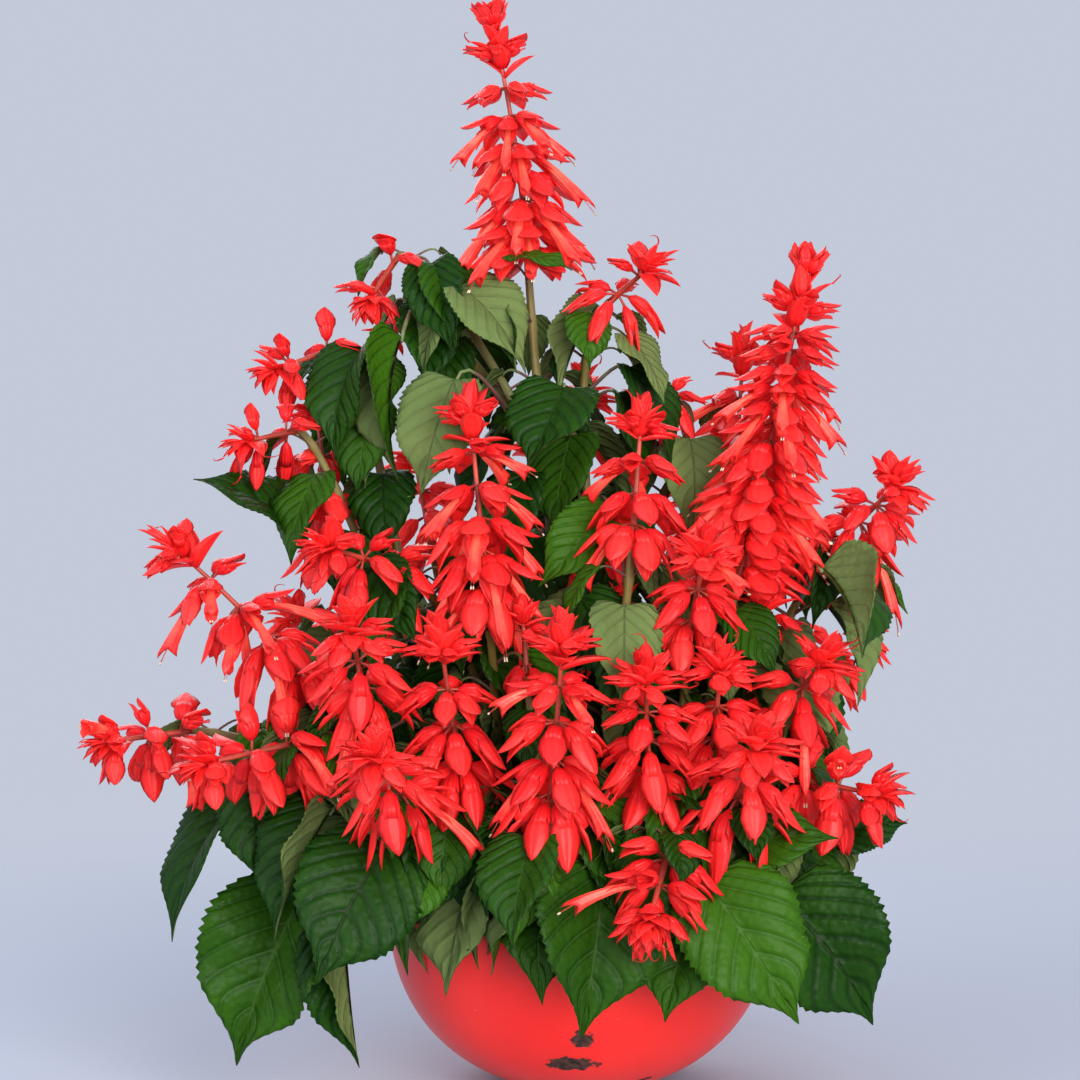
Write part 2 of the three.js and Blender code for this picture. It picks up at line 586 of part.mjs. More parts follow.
// Flowers: a flower is raised until it stands clear, or left out where it can't.
Object.entries(SPIKES).forEach(([name, spike], order) => {
  const node = `spike_${name}`;
  const lifted = FLOWER_LIFTS.map((lift) => flowerPlaces(spike, order + 1, lift));
  lifted[0].forEach(({ seed, whorl, flower }, k) => {
    if (flower % 3 !== whorl % 3) return;
    const choice = lifted.map((places) => places[k]).find((at) => isClear(calyxSolid(at), node));
    if (!choice) return;
    place(node, calyxSolid(choice));
    const isOpen = choice.age > COROLLA.youngest && chance(seed + 0.6) < (spike.open ?? DEFAULT_OPEN);
    if (isOpen && isClear(corollaSolid(choice), node)) {
      place(node, corollaSolid(choice));
    }
  });
});

// The leaves that a stem bears in opposite pairs, each pair square to the one below.
function addPairs(stem, pairs, seed) {
  const curve = stems[stem];
  pairs.forEach(([share, length], pair) => {
    const end = curve.getPoint(1);
    const outward = Math.atan2(end.y, end.x);
    for (const side of [0, 1]) {
      const seeded = seed + pair * 2 + side;
      const stray = STANCE.strayTurn * (chance(seeded) - 0.5);
      const compass = outward + degrees(90 + 180 * side + 90 * pair + stray);
      const droop = degrees(STANCE.droop + STANCE.strayDroop * chance(seeded + 0.5));
      const size = length * mix(0.85, 1.1, chance(seeded + 0.7));
      const choices = TURNS.map((turn) => leafOnStem(curve, share, compass + degrees(turn), size, droop));
      addLeaf(`plant_${stemPlants[stem]}`, choices, false);
    }
  });
}

Object.keys(stems).forEach((stem, order) => {
  const others = firstStem(stemPlants[stem]) === stem ? MAIN_PAIRS : SIDE_PAIRS;
  const pairs = stem in SHOOTS ? SKIRT_PAIRS : others;
  addPairs(stem, pairs, 1000 + order * 10);
});

for (const [node, solids] of Object.entries(pieces)) {
  const colour = node.startsWith("spike_") ? "spike" : "plant";
  addMesh(node, mainBody(wasm.Manifold.union(solids)), colour);
}
addMesh("soil", soil, "soil");
addMesh("bowl", bowl, "bowl");

export default group;
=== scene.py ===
"""Scarlet salvia in a round painted bowl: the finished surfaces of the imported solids."""

from collections import namedtuple

import bpy
import numpy as np
from bpy.props import FloatProperty, FloatVectorProperty, IntProperty, PointerProperty
from bpy.types import Operator, Panel, PropertyGroup
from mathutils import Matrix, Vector


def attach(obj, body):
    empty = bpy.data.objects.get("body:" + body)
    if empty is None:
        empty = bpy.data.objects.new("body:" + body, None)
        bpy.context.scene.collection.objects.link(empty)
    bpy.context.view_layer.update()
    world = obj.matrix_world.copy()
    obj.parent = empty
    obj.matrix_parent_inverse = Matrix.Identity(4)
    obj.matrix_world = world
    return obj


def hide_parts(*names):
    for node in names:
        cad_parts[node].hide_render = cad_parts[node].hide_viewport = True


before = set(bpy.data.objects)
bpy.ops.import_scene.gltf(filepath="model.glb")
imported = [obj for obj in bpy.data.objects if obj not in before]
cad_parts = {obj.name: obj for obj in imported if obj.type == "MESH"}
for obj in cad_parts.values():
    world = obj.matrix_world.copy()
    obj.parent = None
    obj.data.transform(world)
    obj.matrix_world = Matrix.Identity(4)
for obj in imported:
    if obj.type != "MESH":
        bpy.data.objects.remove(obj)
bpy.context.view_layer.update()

bl_info = {
    "name": "Potted scarlet salvia",
    "version": (1, 0, 0),
    "blender": (4, 5, 0),
    "location": "View3D > Sidebar > Salvia",
    "description": "Bowl, soil, leafy plants and scarlet flower spikes of a potted salvia",
    "category": "Object",
}

MM = 0.001  # the tables below are in millimetres, and meshes are in metres

# ------------------------------------------------------------------ the planting, as in the solids
# Sizes of the bowl and the soil.
BOWL = {"rim": 87, "height": 82, "wall": 2.2, "foot": 27, "squareness": 2.2}
SOIL = {"edge": 70, "crown": 76, "gap": 0.3}
# Stems: their widths, how far they are sunk in the soil, how steeply a trunk and a branch set out, and
# how long they run straight before their end, in millimetres and as a share of their span.
STEM = {"width": 3.8, "shoot": 3.0, "sunk": 22, "trunk_rise": 0.5, "branch_rise": 0.3,
        "run_in": 14, "run_in_share": 0.26}
FORKS = {"crown": 0.6, "side": 0.3, "shoot": 0.16}  # where side branches leave a plant's first stem
RACHIS = {"width": 2.6, "gap": 0.3}  # a spike's axis, and the gap between it and its stem
STALK = {"width": 2.0}
LEAF = {"aspect": 0.74, "arch": 0.07, "lobe": 0.1}
# Pairs of smaller leaves on a plant's first stem, its branches and its leafy shoots: where along the
# stem, and their length.
MAIN_PAIRS = [(0.52, 58), (0.8, 46)]
SIDE_PAIRS = [(0.7, 46)]
SKIRT_PAIRS = [(0.72, 50)]
# How a leaf of a pair stands: its stalk's length, its rise, and the droop of its blade in degrees.
STANCE = {"stalk": 8, "per_length": 0.2, "rise": 0.35, "droop": 48, "stray_droop": 26, "stray_turn": 50}
# Shares of a calyx's length, the length of its stalk in millimetres, how much smaller the youngest are and
# how fast they reach full size toward the foot of a spike.
CALYX = {"width": 0.6, "ring": 0.56, "ring_rise": 0.45, "mouth": 0.9, "lower": 0.94, "stalk": 3,
         "young": 0.62, "growth": 1.5}
# How the flowers stand round a spike, in degrees, and where a whorl sits in its own stretch of the axis.
WHORL = {"flowers": 6, "tip_rise": 68, "foot_rise": -14, "turn": 40, "stray_turn": 22, "stray_rise": 14,
         "start": 0.35, "tip_gap": 0.3}
HANG = {"least": 0.1, "per_whorl": 0.125}  # how heavily the lowest flowers of a spike hang
# Turns, shifts and lifts that a solid tries in turn until its leaf or flower is clear of the others.
TURNS = [0, 22, -22, 45, -45, 68, -68, 90]
LEAF_SHIFTS = [0, 4, -4, 8, -8, 12, -12, 18]
ROOT_SHIFTS = [0, 0.08, -0.08, 0.16, -0.16, -0.25]
FLOWER_LIFTS = [0, 14, 28, -14]
LAST_ROOT = 0.98  # share of a stem beyond which no leaf sets out

# Each plant's foot in the soil.
PLANTS = {
    "crown": (-6, 14),
    "lamp": (16, 4),
    "tower": (46, -14),
    "east": (66, -4),
    "high_west": (-40, 10),
    "west": (-64, -8),
    "low_west": (-56, -36),
    "centre": (-24, -20),
    "middle": (4, -24),
    "front_left": (-34, -52),
    "front": (-8, -58),
    "front_right": (18, -58),
    "right": (42, -44),
    "low_east": (64, -30),
    "back_left": (-36, 44),
    "back": (2, 48),
    "back_right": (40, 40),
}

# Each spike: its plant, the ends of its axis, how many whorls it has and the length of its lowest calyx.
SPIKES = {
    "crown": ("crown", (-24, 5, 369), (-41, 0, 479), 9, 20),
    "left_nod": ("crown", (-83, 15, 372), (-96, -2, 350), 2, 19),
    "left_bud": ("crown", (-82, 32, 349), (-90, 26, 335), 1, 15),
    "right_nod": ("lamp", (13, -5, 351), (31, -27, 366), 2, 20),
    "inner": ("lamp", (2, 42, 285), (1, 48, 318), 2, 18),
    "small_bud": ("lamp", (46, 30, 306), (31, 22, 311), 1, 15),
    "tower": ("tower", (68, -40, 228), (102, 0, 371), 9, 22),
    "tower_back": ("tower", (70, 25, 250), (76, 42, 336), 5, 21),
    "east": ("east", (113, -20, 243), (138, -55, 273), 4, 21),
    "east_low": ("east", (90, -22, 198), (76, -44, 219), 2, 19),
    "high_west": ("high_west", (-111, -5, 242), (-121, 15, 309), 4, 21),
    "west_side": ("high_west", (-127, -15, 293), (-150, -32, 288), 2, 18),
    "west_nod": ("high_west", (-109, 10, 331), (-141, -10, 319), 2, 18),
    "west": ("west", (-119, -60, 186), (-178, -75, 247), 5, 22),
    "far_west": ("west", (-171, -40, 162), (-208, -60, 159), 3, 19),
    "low_west": ("low_west", (-120, -85, 162), (-161, -112, 155), 3, 22),
    "left_face": ("low_west", (-92, -90, 182), (-95, -138, 218), 3, 21),
    "middle_left": ("centre", (-79, -50, 233), (-112, -80, 245), 3, 20),
    "centre": ("centre", (-41, -72, 224), (-49, -55, 306), 6, 22),
    "middle": ("middle", (21, -70, 249), (25, -60, 301), 4, 20),
    "middle_low": ("middle", (19, -34, 199), (16, -50, 218), 2, 18),
    "front_left": ("front_left", (-52, -92, 150), (-60, -110, 211), 4, 21),
    "left_low": ("front_left", (-74, -112, 142), (-87, -158, 166), 3, 21),
    "front": ("front", (-14, -118, 140), (-9, -135, 214), 5, 22),
    "front_bud": ("front", (-24, -82, 190), (-26, -82, 217), 2, 15),
    "front_right": ("front_right", (27, -95, 149), (24, -125, 197), 4, 21),
    "nodding": ("front_right", (34, -122, 122), (24, -150, 94), 3, 20),
    "right": ("right", (54, -88, 160), (57, -100, 200), 3, 20),
    "right_low": ("right", (62, -104, 138), (70, -150, 172), 3, 22),
    "right_high": ("right", (45, -75, 209), (51, -95, 247), 3, 20),
    "east_face": ("low_east", (84, -62, 172), (103, -90, 199), 3, 21),
    "far_east": ("low_east", (90, -78, 146), (126, -100, 141), 3, 21),
    "back_high": ("back", (-14, 92, 236), (-20, 108, 292), 4, 21),
    "back_low": ("back", (14, 118, 176), (18, 156, 196), 3, 21),
    "back_left_high": ("back_left", (-70, 78, 236), (-80, 94, 284), 4, 21),
    "back_left": ("back_left", (-108, 74, 182), (-142, 92, 206), 3, 21),
    "back_left_low": ("back_left", (-58, 112, 148), (-78, 148, 162), 3, 20),
    "back_right_high": ("back_right", (58, 80, 232), (66, 98, 284), 4, 21),
    "back_right": ("back_right", (104, 62, 176), (140, 78, 200), 3, 21),
    "back_right_low": ("back_right", (62, 110, 138), (78, 146, 150), 3, 20),
}
BOWED = {"crown": (5, 0, 0), "tower": (2, 3, 0), "west": (0, 0, 6)}  # shifts of the middle of an axis

# Each leafy shoot: its plant, its end and the way it heads there.
SHOOTS = {
    "west_skirt": ("west", (-112, -30, 128), (-1, -0.3, -0.2)),
    "low_west_skirt": ("low_west", (-92, -72, 122), (-1, -0.8, -0.3)),
    "low_east_skirt": ("low_east", (96, -58, 118), (1, -0.5, -0.1)),
    "right_skirt": ("right", (52, -92, 108), (0.4, -1, -0.2)),
    "front_skirt": ("front", (2, -94, 108), (0, -1, -0.1)),
    "back_skirt": ("back", (0, 98, 106), (0, 1, -0.2)),
    "back_left_skirt": ("back_left", (-84, 66, 110), (-1, 0.7, -0.2)),
    "back_right_skirt": ("back_right", (88, 62, 106), (1, 0.7, -0.2)),
}

# Each large leaf: its stem, where along it, the ends of its blade, the way its outer side faces and
# its width over its length.
LARGE_LEAVES = [
    ("high_west", 0.86, (-122, -12, 248), (-168, -32, 275), (0.1, -0.8, 0.6), 0.72),
    ("west_skirt", 0.95, (-150, -46, 134), (-178, -72, 78), (-0.6, -0.8, 0.3), 0.66),
    ("west_skirt", 0.8, (-134, -66, 150), (-136, -88, 100), (-0.3, -0.9, 0.35), 0.8),
    ("low_west_skirt", 0.9, (-106, -88, 134), (-130, -106, 84), (-0.3, -0.9, 0.35), 0.8),
    ("low_west_skirt", 0.96, (-82, -104, 120), (-112, -128, 70), (-0.25, -0.9, 0.35), 0.86),
    ("west_skirt", 0.97, (-122, -52, 92), (-150, -70, 22), (-0.2, -0.95, 0.2), 0.88),
    ("low_west_skirt", 0.98, (-102, -70, 86), (-94, -84, 24), (-0.1, -0.98, 0.1), 0.72),
    ("front_left", 0.5, (-66, -102, 116), (-73, -120, 88), (0.1, -0.9, 0.4), 0.78),
    ("front_skirt", 0.95, (8, -108, 112), (1, -132, 48), (0, -0.96, 0.25), 0.92),
    ("front_skirt", 0.85, (-18, -104, 112), (-33, -116, 68), (-0.85, -0.4, 0.3), 0.8),
    ("right_skirt", 0.9, (50, -116, 108), (84, -128, 50), (0.2, -0.95, 0.3), 0.78),
    ("right_skirt", 0.98, (44, -104, 94), (30, -120, 52), (0.1, -0.95, 0.25), 0.92),
    ("low_east_skirt", 0.92, (82, -92, 98), (124, -98, 46), (0.25, -0.9, 0.35), 0.9),
    ("right_skirt", 0.9, (56, -92, 116), (102, -112, 130), (0, -0.8, 0.6), 0.72),
    ("low_east_skirt", 0.97, (108, -60, 118), (140, -58, 126), (0.2, -0.6, 0.8), 0.8),
    ("east", 0.75, (98, -48, 228), (106, -94, 186), (0.5, -0.5, 0.6), 0.72),
    ("east", 0.82, (108, -14, 232), (134, -22, 206), (0.8, -0.3, 0.5), 0.8),
    ("crown", 0.9, (-54, -10, 357), (-24, -26, 322), (0.2, -0.7, 0.6), 0.72),
    ("crown", 0.97, (-31, -14, 371), (-6, -32, 364), (0.1, -0.5, 0.9), 0.6),
    ("left_nod", 0.86, (-68, 2, 368), (-58, -22, 328), (0, -0.9, 0.4), 0.62),
    ("left_nod", 0.7, (-80, -12, 335), (-86, -34, 274), (-0.5, -0.8, 0.3), 0.68),
    ("left_bud", 0.72, (-96, -4, 330), (-110, -20, 282), (-0.8, -0.6, 0.2), 0.72),
    ("crown", 0.66, (-58, -36, 318), (-74, -52, 270), (-0.4, -0.8, 0.4), 0.72),
    ("crown", 0.72, (-8, -26, 312), (-22, -54, 276), (0.1, -0.85, 0.5), 0.86),
    ("right_nod", 0.85, (8, 10, 350), (-10, -6, 308), (-0.6, -0.7, 0.3), 0.6),
    ("right_nod", 0.9, (20, -2, 336), (38, -14, 306), (0.6, -0.7, 0.4), 0.72),
    ("right_nod", 0.72, (22, 4, 322), (42, -10, 276), (0.6, -0.7, 0.3), 0.66),
]
# Large leaves that only the surfaces have, in the same way.
INNER_LEAVES = [
    ("middle", 0.84, (12, -48, 258), (-18, -62, 226), (0.3, -0.8, 0.5), 0.66),
    ("middle", 0.7, (-2, -62, 222), (22, -78, 184), (-0.3, -0.85, 0.4), 0.7),
    ("right_high", 0.8, (46, -62, 202), (12, -84, 178), (0.1, -0.6, 0.8), 0.6),
    ("middle_left", 0.85, (-92, -48, 234), (-72, -70, 202), (-0.2, -0.7, 0.7), 0.72),
    ("middle", 0.9, (26, -50, 236), (42, -66, 204), (0.5, -0.8, 0.2), 0.5),
    ("front", 0.8, (-40, -96, 126), (-38, -112, 94), (0.1, -0.95, 0.2), 0.7),
    ("front_right", 0.8, (8, -96, 138), (14, -116, 98), (0, -0.9, 0.4), 0.72),
    ("front_right", 0.86, (32, -92, 142), (62, -112, 132), (0.1, -0.6, 0.8), 0.7),
    ("low_west", 0.9, (-112, -78, 150), (-92, -98, 128), (0.3, -0.8, 0.5), 0.5),
    ("east_low", 0.8, (66, -52, 216), (84, -70, 190), (0.2, -0.8, 0.5), 0.66),
]

# ------------------------------------------------------------------ what only the surfaces add
# Stems: their taper from foot to end, and the share of a stem that a swelling takes.
STEM_TAPER = (1.05, 0.82)
SWELLING_LENGTH = 0.018
# Tubes: rings along them, sides round them, and the power of the superellipse that they are in section.
TUBES = {"stem": (40, 16, 3.4), "axis": (24, 12, 3.0), "stalk": (9, 8, 2.0)}
TEETH = {"large": 20, "small": 11}  # along each edge of a blade
BLADE_COLUMNS = {  # where the columns of a blade's grid lie, from edge to edge
    "large": [-1, -0.84, -0.6, -0.36, -0.13, 0, 0.13, 0.36, 0.6, 0.84, 1],
    "small": [-1, -0.68, -0.34, 0, 0.34, 0.68, 1],
}
CURL = 0.35  # slope that each half of a blade loses from midrib to edge
# How blades differ: their edge waves, which are out of step on the two halves, how the halves rise and curl
# over the settings, the degrees that a folded half turns over and its share of that at the tip.
WAVES = {"turns": (1.0, 2.4), "height": (0.4, 1.6), "out_of_step": 1.9}
HALVES = {"rise": (0.3, 1), "curl": (0.7, 2.2), "over": (104, 136), "over_at_tip": 0.8}
TEETH_DEPTH = (0.6, 1.4)  # over the setting
TIP_NOD = (-0.02, 0.18)  # over the blade's length, as the sway is
TIP_SWAY = (-0.09, 0.09)
FULL_GROWN = 60  # length of a blade with full relief
MIDRIB = 0.55  # how far the midrib of such a blade stands out beneath it by the stalk
# Side veins on each half of a blade: how many, how far they slant to the tip, how much of that slant is
# straight and how much is bent, and how much less they slant at the tip.
SIDE_VEINS = {"count": 6, "slant": 0.6, "straight": 0.65, "bent": 0.35, "less_at_tip": 0.6}
# Rows of the large leaves, counted from 0, that hang with their undersides outward, and those with a half
# folded over: 1 the right, -1 the left. Then the shares of the smaller leaves that hang and fold so.
TURNED_LEAVES = {9, 17, 20, 22, 25, 31, 35}
FOLDED_LEAVES = {3: 1, 6: 1, 15: -1, 20: 1, 24: 1}
TURNED_SHARE = 0.16
FOLDED_SHARE = 0.26
FILLER_SIZE = 0.82  # leaves that the solids leave out for want of room are this many times as long
STRAY_SIZE = (0.85, 1.1)  # how leaves of a pair differ in length
# Young pairs of leaves between those above: on side branches, on leafy shoots and on a first stem.
YOUNG_PAIRS = {"spike": [(0.34, 38), (0.56, 42), (0.85, 26)], "shoot": [(0.4, 36), (0.92, 34)]}
TRUNK_YOUNG_PAIRS = [(0.3, 44), (0.42, 50), (0.62, 48), (0.7, 44), (0.9, 32)]

# Share of the grown flowers whose corolla is out: on most spikes, and on those that differ.
OPEN_SHARE = 0.07
OPEN_SHARES = {"crown": 0.7, "tower": 0.45, "tower_back": 0.3, "west": 0.4, "centre": 0.3, "front": 0.15}
# Corollas: how long they are and where they start over the flower's length, how far they sag, how much of
# their length is out, the age from which flowers have them, and how they differ in width and arch.
COROLLA = {"length": 1.75, "start": 0.35, "sag": 0.3, "out": (0.55, 0.85), "youngest": 0.25,
           "width": (0.85, 1.15), "arch": (0.02, 0.22)}
SMALL_WHORLS = 2  # spikes with no more whorls than this are small heads of closed flowers
# Tall spikes have this many whorls or more. Corollas are out between the ages of youngest and oldest, the
# lowest flowers are raised, those younger than leans_in lean toward the tip, and all sag less.
TALL = {"whorls": 7, "youngest": 0.4, "oldest": 0.95, "raised": 0.5, "leans_in": 0.27, "leans_over": 0.19,
        "lean": 1.1, "sag": 0.3, "spread": (0.3, 2.4)}
DENSE_SPIKES = {"tower", "tower_back"}  # these carry flowers between their whorls too
BETWEEN_WHORLS = {"start": 0.85, "order": 60}  # where those sit, and what keeps their random draws apart
AXIS_END = 0.97  # share of a spike's axis that is drawn, up into its bracts
AXIS_TAPER = (1.1, 0.55)
CALYX_START = 0.2  # share of a flower's length that is its own short stalk
BELL_SIDES = 8  # of a calyx's tube and of a corolla
LIP_POINTS = 6  # in each ring of a lip or a bract
# The lips of a calyx and the bracts at a tip: where they start and end, how wide they are and how far
# they stand off at the foot. The first two are shares of a flower's length, the others half widths.
UPPER_LIP = {"start": CALYX_START + 0.25, "end": 1, "width": 0.92, "root": 0.52}
LOWER_LIP = {"start": CALYX_START + 0.25, "end": 0.93, "width": 0.76, "root": 0.5}
BRACT = {"start": 0, "end": 1, "width": 1, "root": 0.25}
# How far they stand off at the tip: lips closed and wide open, inner and outer bracts.
UPPER_SPREAD, LOWER_SPREAD, BRACT_SPREAD = (0.16, 1.25), (0.1, 0.9), (0.1, 0.55)
LIP_LEAN, BRACT_LEAN, BRACT_ARCH = 0.7, 0.5, 0.1
# How calyces differ: width and sag over the settings, and arch, which the young have less of.
CALYX_STRAYS = {"width": (0.88, 1.12), "sag": (0.5, 1.5), "arch": (0.1, 0.5), "young_arch": 0.5}
# How far calyces gape: the young and the small heads' over the rest, and at least with a corolla out.
GAPES = {"young": 0.25, "small": 0.5, "out": 0.45}
SMALL_HEAD_WIDTH = 0.85  # their calyces' width over the others'
TONE_SEED = 0.77  # added to a flower's seed for the draw of its tone
# Slim tubes: where they start and end over the length of a flower or its corolla, and their radii there.
FLOWER_STALK = (0, CALYX_START + 0.03, 0.5, 0.75)
STAMEN_THREAD = (0.84, 1.02, 0.16, 0.13)
ANTHER = (1.01, 1.05, 0.3, 0.4)
STAMENS_APART = 1.0
STAMENS_RAISED = 0.5
TIP_BUDS = 13  # bracts that overlap at the tip of each spike
# Where along the axis the lowest bract sits, and its rise in degrees. Then the last one's rise and how far
# each strays, and the bracts' lengths over a calyx, from the lowest to the last.
TIP = {"tall": (0.75, 30), "other": (0.78, 16)}
BUD_RISE = {"last": 80, "stray": 16}
BUD_LENGTH = (0.85, 0.55)
BUD_STRAY = (0.85, 1.15)
GOLDEN_TURN = 137.5  # degrees from each bract to the next
# Curls: the share of the bracts that end in one, how far it winds in radians, then its length, its rise and
# how far it starts inside the bract over the bract's length, and its radii.
CURLS = {"share": 0.1, "wind": 2.2, "length": 0.28, "rise": 0.4, "sunk": 0.03, "radii": (0.42, 0.12)}
MATCH = 0.08  # a solid's corner this near, in millimetres, is taken for the same corner
ENOUGH = 3  # corners that have to match for a leaf or a flower to be the solid's own
COROLLA_PAINT, RACHIS_PAINT, ANTHER_PAINT = 1, 2, 3  # places in a spike's list of materials
STALK_PAINT, BARK_PAINT = 1, 1  # places in the lists of the leaves and of the soil

BOWL_FOOT_BEVEL = {"width": 1.2, "height": 0.25}
BOWL_RINGS = {"outside": 44, "inside": 30, "rim": 9}
SOIL_SIDES = 96
SOIL_RINGS = 26  # over its top
# Bits of bark: how many, how far out, half their length, their radius and its taper, how high their middles
# lie on the soil and how much they tilt.
BARK = {"bits": 140, "reach": 0.95, "half_length": (1.5, 4.5), "radius": (0.7, 1.8),
        "taper": (0.55, 1, 0.9, 0.5), "above": 0.6, "tilt": 0.8}
# Chips in the paint, and one patch of painted shade: how far to the right and how high their middles are,
# their radius and how many times as wide as high they are.
# the third, low on the right by the foot, is the patch of painted shade where the bowl's underside turns away
# from the light
CHIPS_AND_SHADE_PATCH = [(-1, 34, 4.4, 1.35), (-5, 21, 5.4, 2.1), (49, 8, 4.5, 2.6), (58, 14, 2.6, 2.2), (26, 9, 2.2, 1.8)]

CAMERA = {"from": (-18.5, -1250, 290), "to": (-18.5, 0, 244), "sensor": 36.0}
# Each lamp: where it hangs and how wide it is, in metres, and its colour.
LAMPS = {
    "key": ((0.7, -1.95, 0.72), 1.6, (1.0, 0.98, 0.95)),
    "fill": ((-1.5, -1.2, 0.9), 1.8, (0.9, 0.94, 1.0)),
    "back": ((-0.5, 1.9, 1.3), 1.8, (0.95, 0.97, 1.0)),
}
LAMP_AIM = (0, 0, 0.24)  # the middle of the planting
FLOOR = {"sides": 128, "clear_from": 0.2}  # the floor clears away from this share of its radius outward

UP = np.array([0.0, 0.0, 1.0])
SIDEWAYS = np.array([1.0, 0.0, 0.0])

Spike = namedtuple("Spike", "name order plant whorls calyx axis")
Stem = namedtuple("Stem", "plant controls width pairs young")
Leaf = namedtuple("Leaf", "root base tip facing aspect seed turned folded")
Flowers = namedtuple("Flowers", "root along length age seed whorl flower")


# ------------------------------------------------------------------ small helpers
def unit(vectors):
    """Vectors made one unit long."""
    return vectors / np.linalg.norm(vectors, axis=-1, keepdims=True)


def mix(low, high, share):
    """The value a share of the way from low to high."""
    return low + (high - low) * share


def chance(seed):
    """A number from 0 to 1 that each seed always gives."""
    wave = np.sin(np.asarray(seed, float) * 12.9898 + 4.1414) * 43758.5453
    return wave - np.floor(wave)


def between(low, high, seed):
    """A number from low to high that each seed always gives."""
    return mix(low, high, chance(seed))


def vec(values):
    """Numbers as an array of floats."""
    return np.array(values, float)


def circle(sides):
    """The cosines and the sines of even steps round a circle."""
    angle = np.linspace(0, 2 * np.pi, sides, endpoint=False)
    return np.cos(angle), np.sin(angle)


def bezier(controls, shares):
    """Points on a Bezier curve, by blending its control points in pairs until one is left."""
    level = [np.multiply.outer(np.ones_like(shares), point) for point in controls]
    while len(level) > 1:
        level = [mix(a, b, shares[..., None]) for a, b in zip(level, level[1:])]
    return level[0]


def bearing(controls, shares):
    """The way a Bezier curve heads, which is the curve through the steps between its control points."""
    return unit(bezier(np.diff(controls, axis=0), shares))


def bell(x, centre, width):
    """A smooth hump, 1 at its centre."""
    return np.exp(-(((x - centre) / width) ** 2))


# ------------------------------------------------------------------ meshes
def ring_faces(rings, sides):
    """Quads between rings of points one after another, with a flat cap on the first and the last."""
    start = np.arange(rings - 1)[:, None] * sides
    here = np.arange(sides)[None]
    following = (here + 1) % sides
    corners = [start + here, start + following, start + sides + following, start + sides + here]
    first = np.arange(sides)[::-1]
    caps = np.stack([first, first[::-1] + (rings - 1) * sides])
    return [np.stack(corners, -1).reshape(-1, 4), caps]


def sheet_faces(rows, columns):
    """Quads of a sheet's upper face, of its lower face, whose points come second, and of its edge."""
    grid = np.arange(rows * columns).reshape(rows, columns)
    corners = [grid[:-1, :-1], grid[:-1, 1:], grid[1:, 1:], grid[1:, :-1]]
    upper = np.stack(corners, -1).reshape(-1, 4)
    lower = upper[:, ::-1] + rows * columns
    edge = np.concatenate([grid[0, :-1], grid[:-1, -1], grid[-1, :0:-1], grid[:0:-1, 0]])
    following = np.roll(edge, -1)
    rim = np.stack([following, edge, edge + rows * columns, following + rows * columns], -1)
    return [upper, lower], [rim]


def turned_outward(points, faces):
    """The faces of a closed shell, all turned about if the volume they enclose comes out negative."""
    volume = 0.0
    for face in faces:
        corner = points[face]
        for k in range(1, face.shape[1] - 1):
            volume += np.sum(corner[:, 0] * np.cross(corner[:, k], corner[:, k + 1]))
    return faces if volume > 0 else [face[:, ::-1] for face in faces]


class Pile:
    """Closed shells gathered for one mesh. Each point carries its place on its own surface and a tone."""

    def __init__(self):
        self.points, self.places, self.tones = [], [], []
        self.corners, self.sizes, self.paints, self.smooth = [], [], [], []
        self.count = 0

    def add(self, points, places, tones, faces, flat_faces=(), paint=0):
        """Copies of one template: points are (copies, points, 3), and there is one tone a copy."""
        copies, size = points.shape[:2]
        starts = self.count + size * np.arange(copies)[:, None, None]
        every = turned_outward(points[0], [*faces, *flat_faces])
        for k, face in enumerate(every):
            self.corners.append((starts + face[None]).reshape(-1))
            self.sizes.append(np.full(copies * len(face), face.shape[1]))
            self.paints.append(np.full(copies * len(face), paint))
            self.smooth.append(np.full(copies * len(face), k < len(faces)))
        self.points.append(points.reshape(-1, 3))
        self.places.append(np.broadcast_to(places, points.shape).reshape(-1, 3))
        self.tones.append(np.repeat(tones, size))
        self.count += copies * size

    def make_piece(self, name, materials, nodes):
        """Turns the shells into one piece, which rides on the part and stands for its solids."""
        mesh = bpy.data.meshes.new(name)
        corners = np.concatenate(self.corners)
        sizes = np.concatenate(self.sizes)
        mesh.vertices.add(self.count)
        mesh.vertices.foreach_set("co", (np.concatenate(self.points) * MM).ravel())
        mesh.loops.add(len(corners))
        mesh.loops.foreach_set("vertex_index", corners)
        mesh.polygons.add(len(sizes))
        mesh.polygons.foreach_set("loop_start", np.cumsum(sizes) - sizes)
        mesh.polygons.foreach_set("material_index", np.concatenate(self.paints))
        mesh.polygons.foreach_set("use_smooth", np.concatenate(self.smooth))
        mesh.update(calc_edges=True)
        place = mesh.attributes.new("place", "FLOAT_VECTOR", "POINT")
        place.data.foreach_set("vector", np.concatenate(self.places).ravel())
        tone = mesh.attributes.new("tone", "FLOAT", "POINT")
        tone.data.foreach_set("value", np.concatenate(self.tones))
        for material in materials:
            mesh.materials.append(material)
        piece = bpy.data.objects.new(name, mesh)
        bpy.context.scene.collection.objects.link(piece)
        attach(piece, "root")
        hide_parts(*nodes)


def tube(paths, radii, sides, power=2.0):
    """Rings of points square to each path. Paths are (copies, rings, 3) and radii (copies, rings). A ring
    is the superellipse |x|^power + |y|^power = 1, so a power of 2 is round and more is squarer."""
    ahead = unit(np.gradient(paths, axis=1))
    chord = paths[:, -1] - paths[:, 0]
    bow = paths[:, paths.shape[1] // 2] - paths[:, 0]
    plane = np.cross(chord, bow) + 1e-3 * np.cross(chord, SIDEWAYS + 0.3 * UP)
    left = unit(np.cross(plane[:, None], ahead))
    above = np.cross(ahead, left)
    across, over = circle(sides)
    reach = (np.abs(across) ** power + np.abs(over) ** power) ** (-1 / power)
    ring = left[:, :, None] * (reach * across)[:, None] + above[:, :, None] * (reach * over)[:, None]
    points = paths[:, :, None] + radii[:, :, None, None] * ring
    return points.reshape(len(paths), -1, 3)


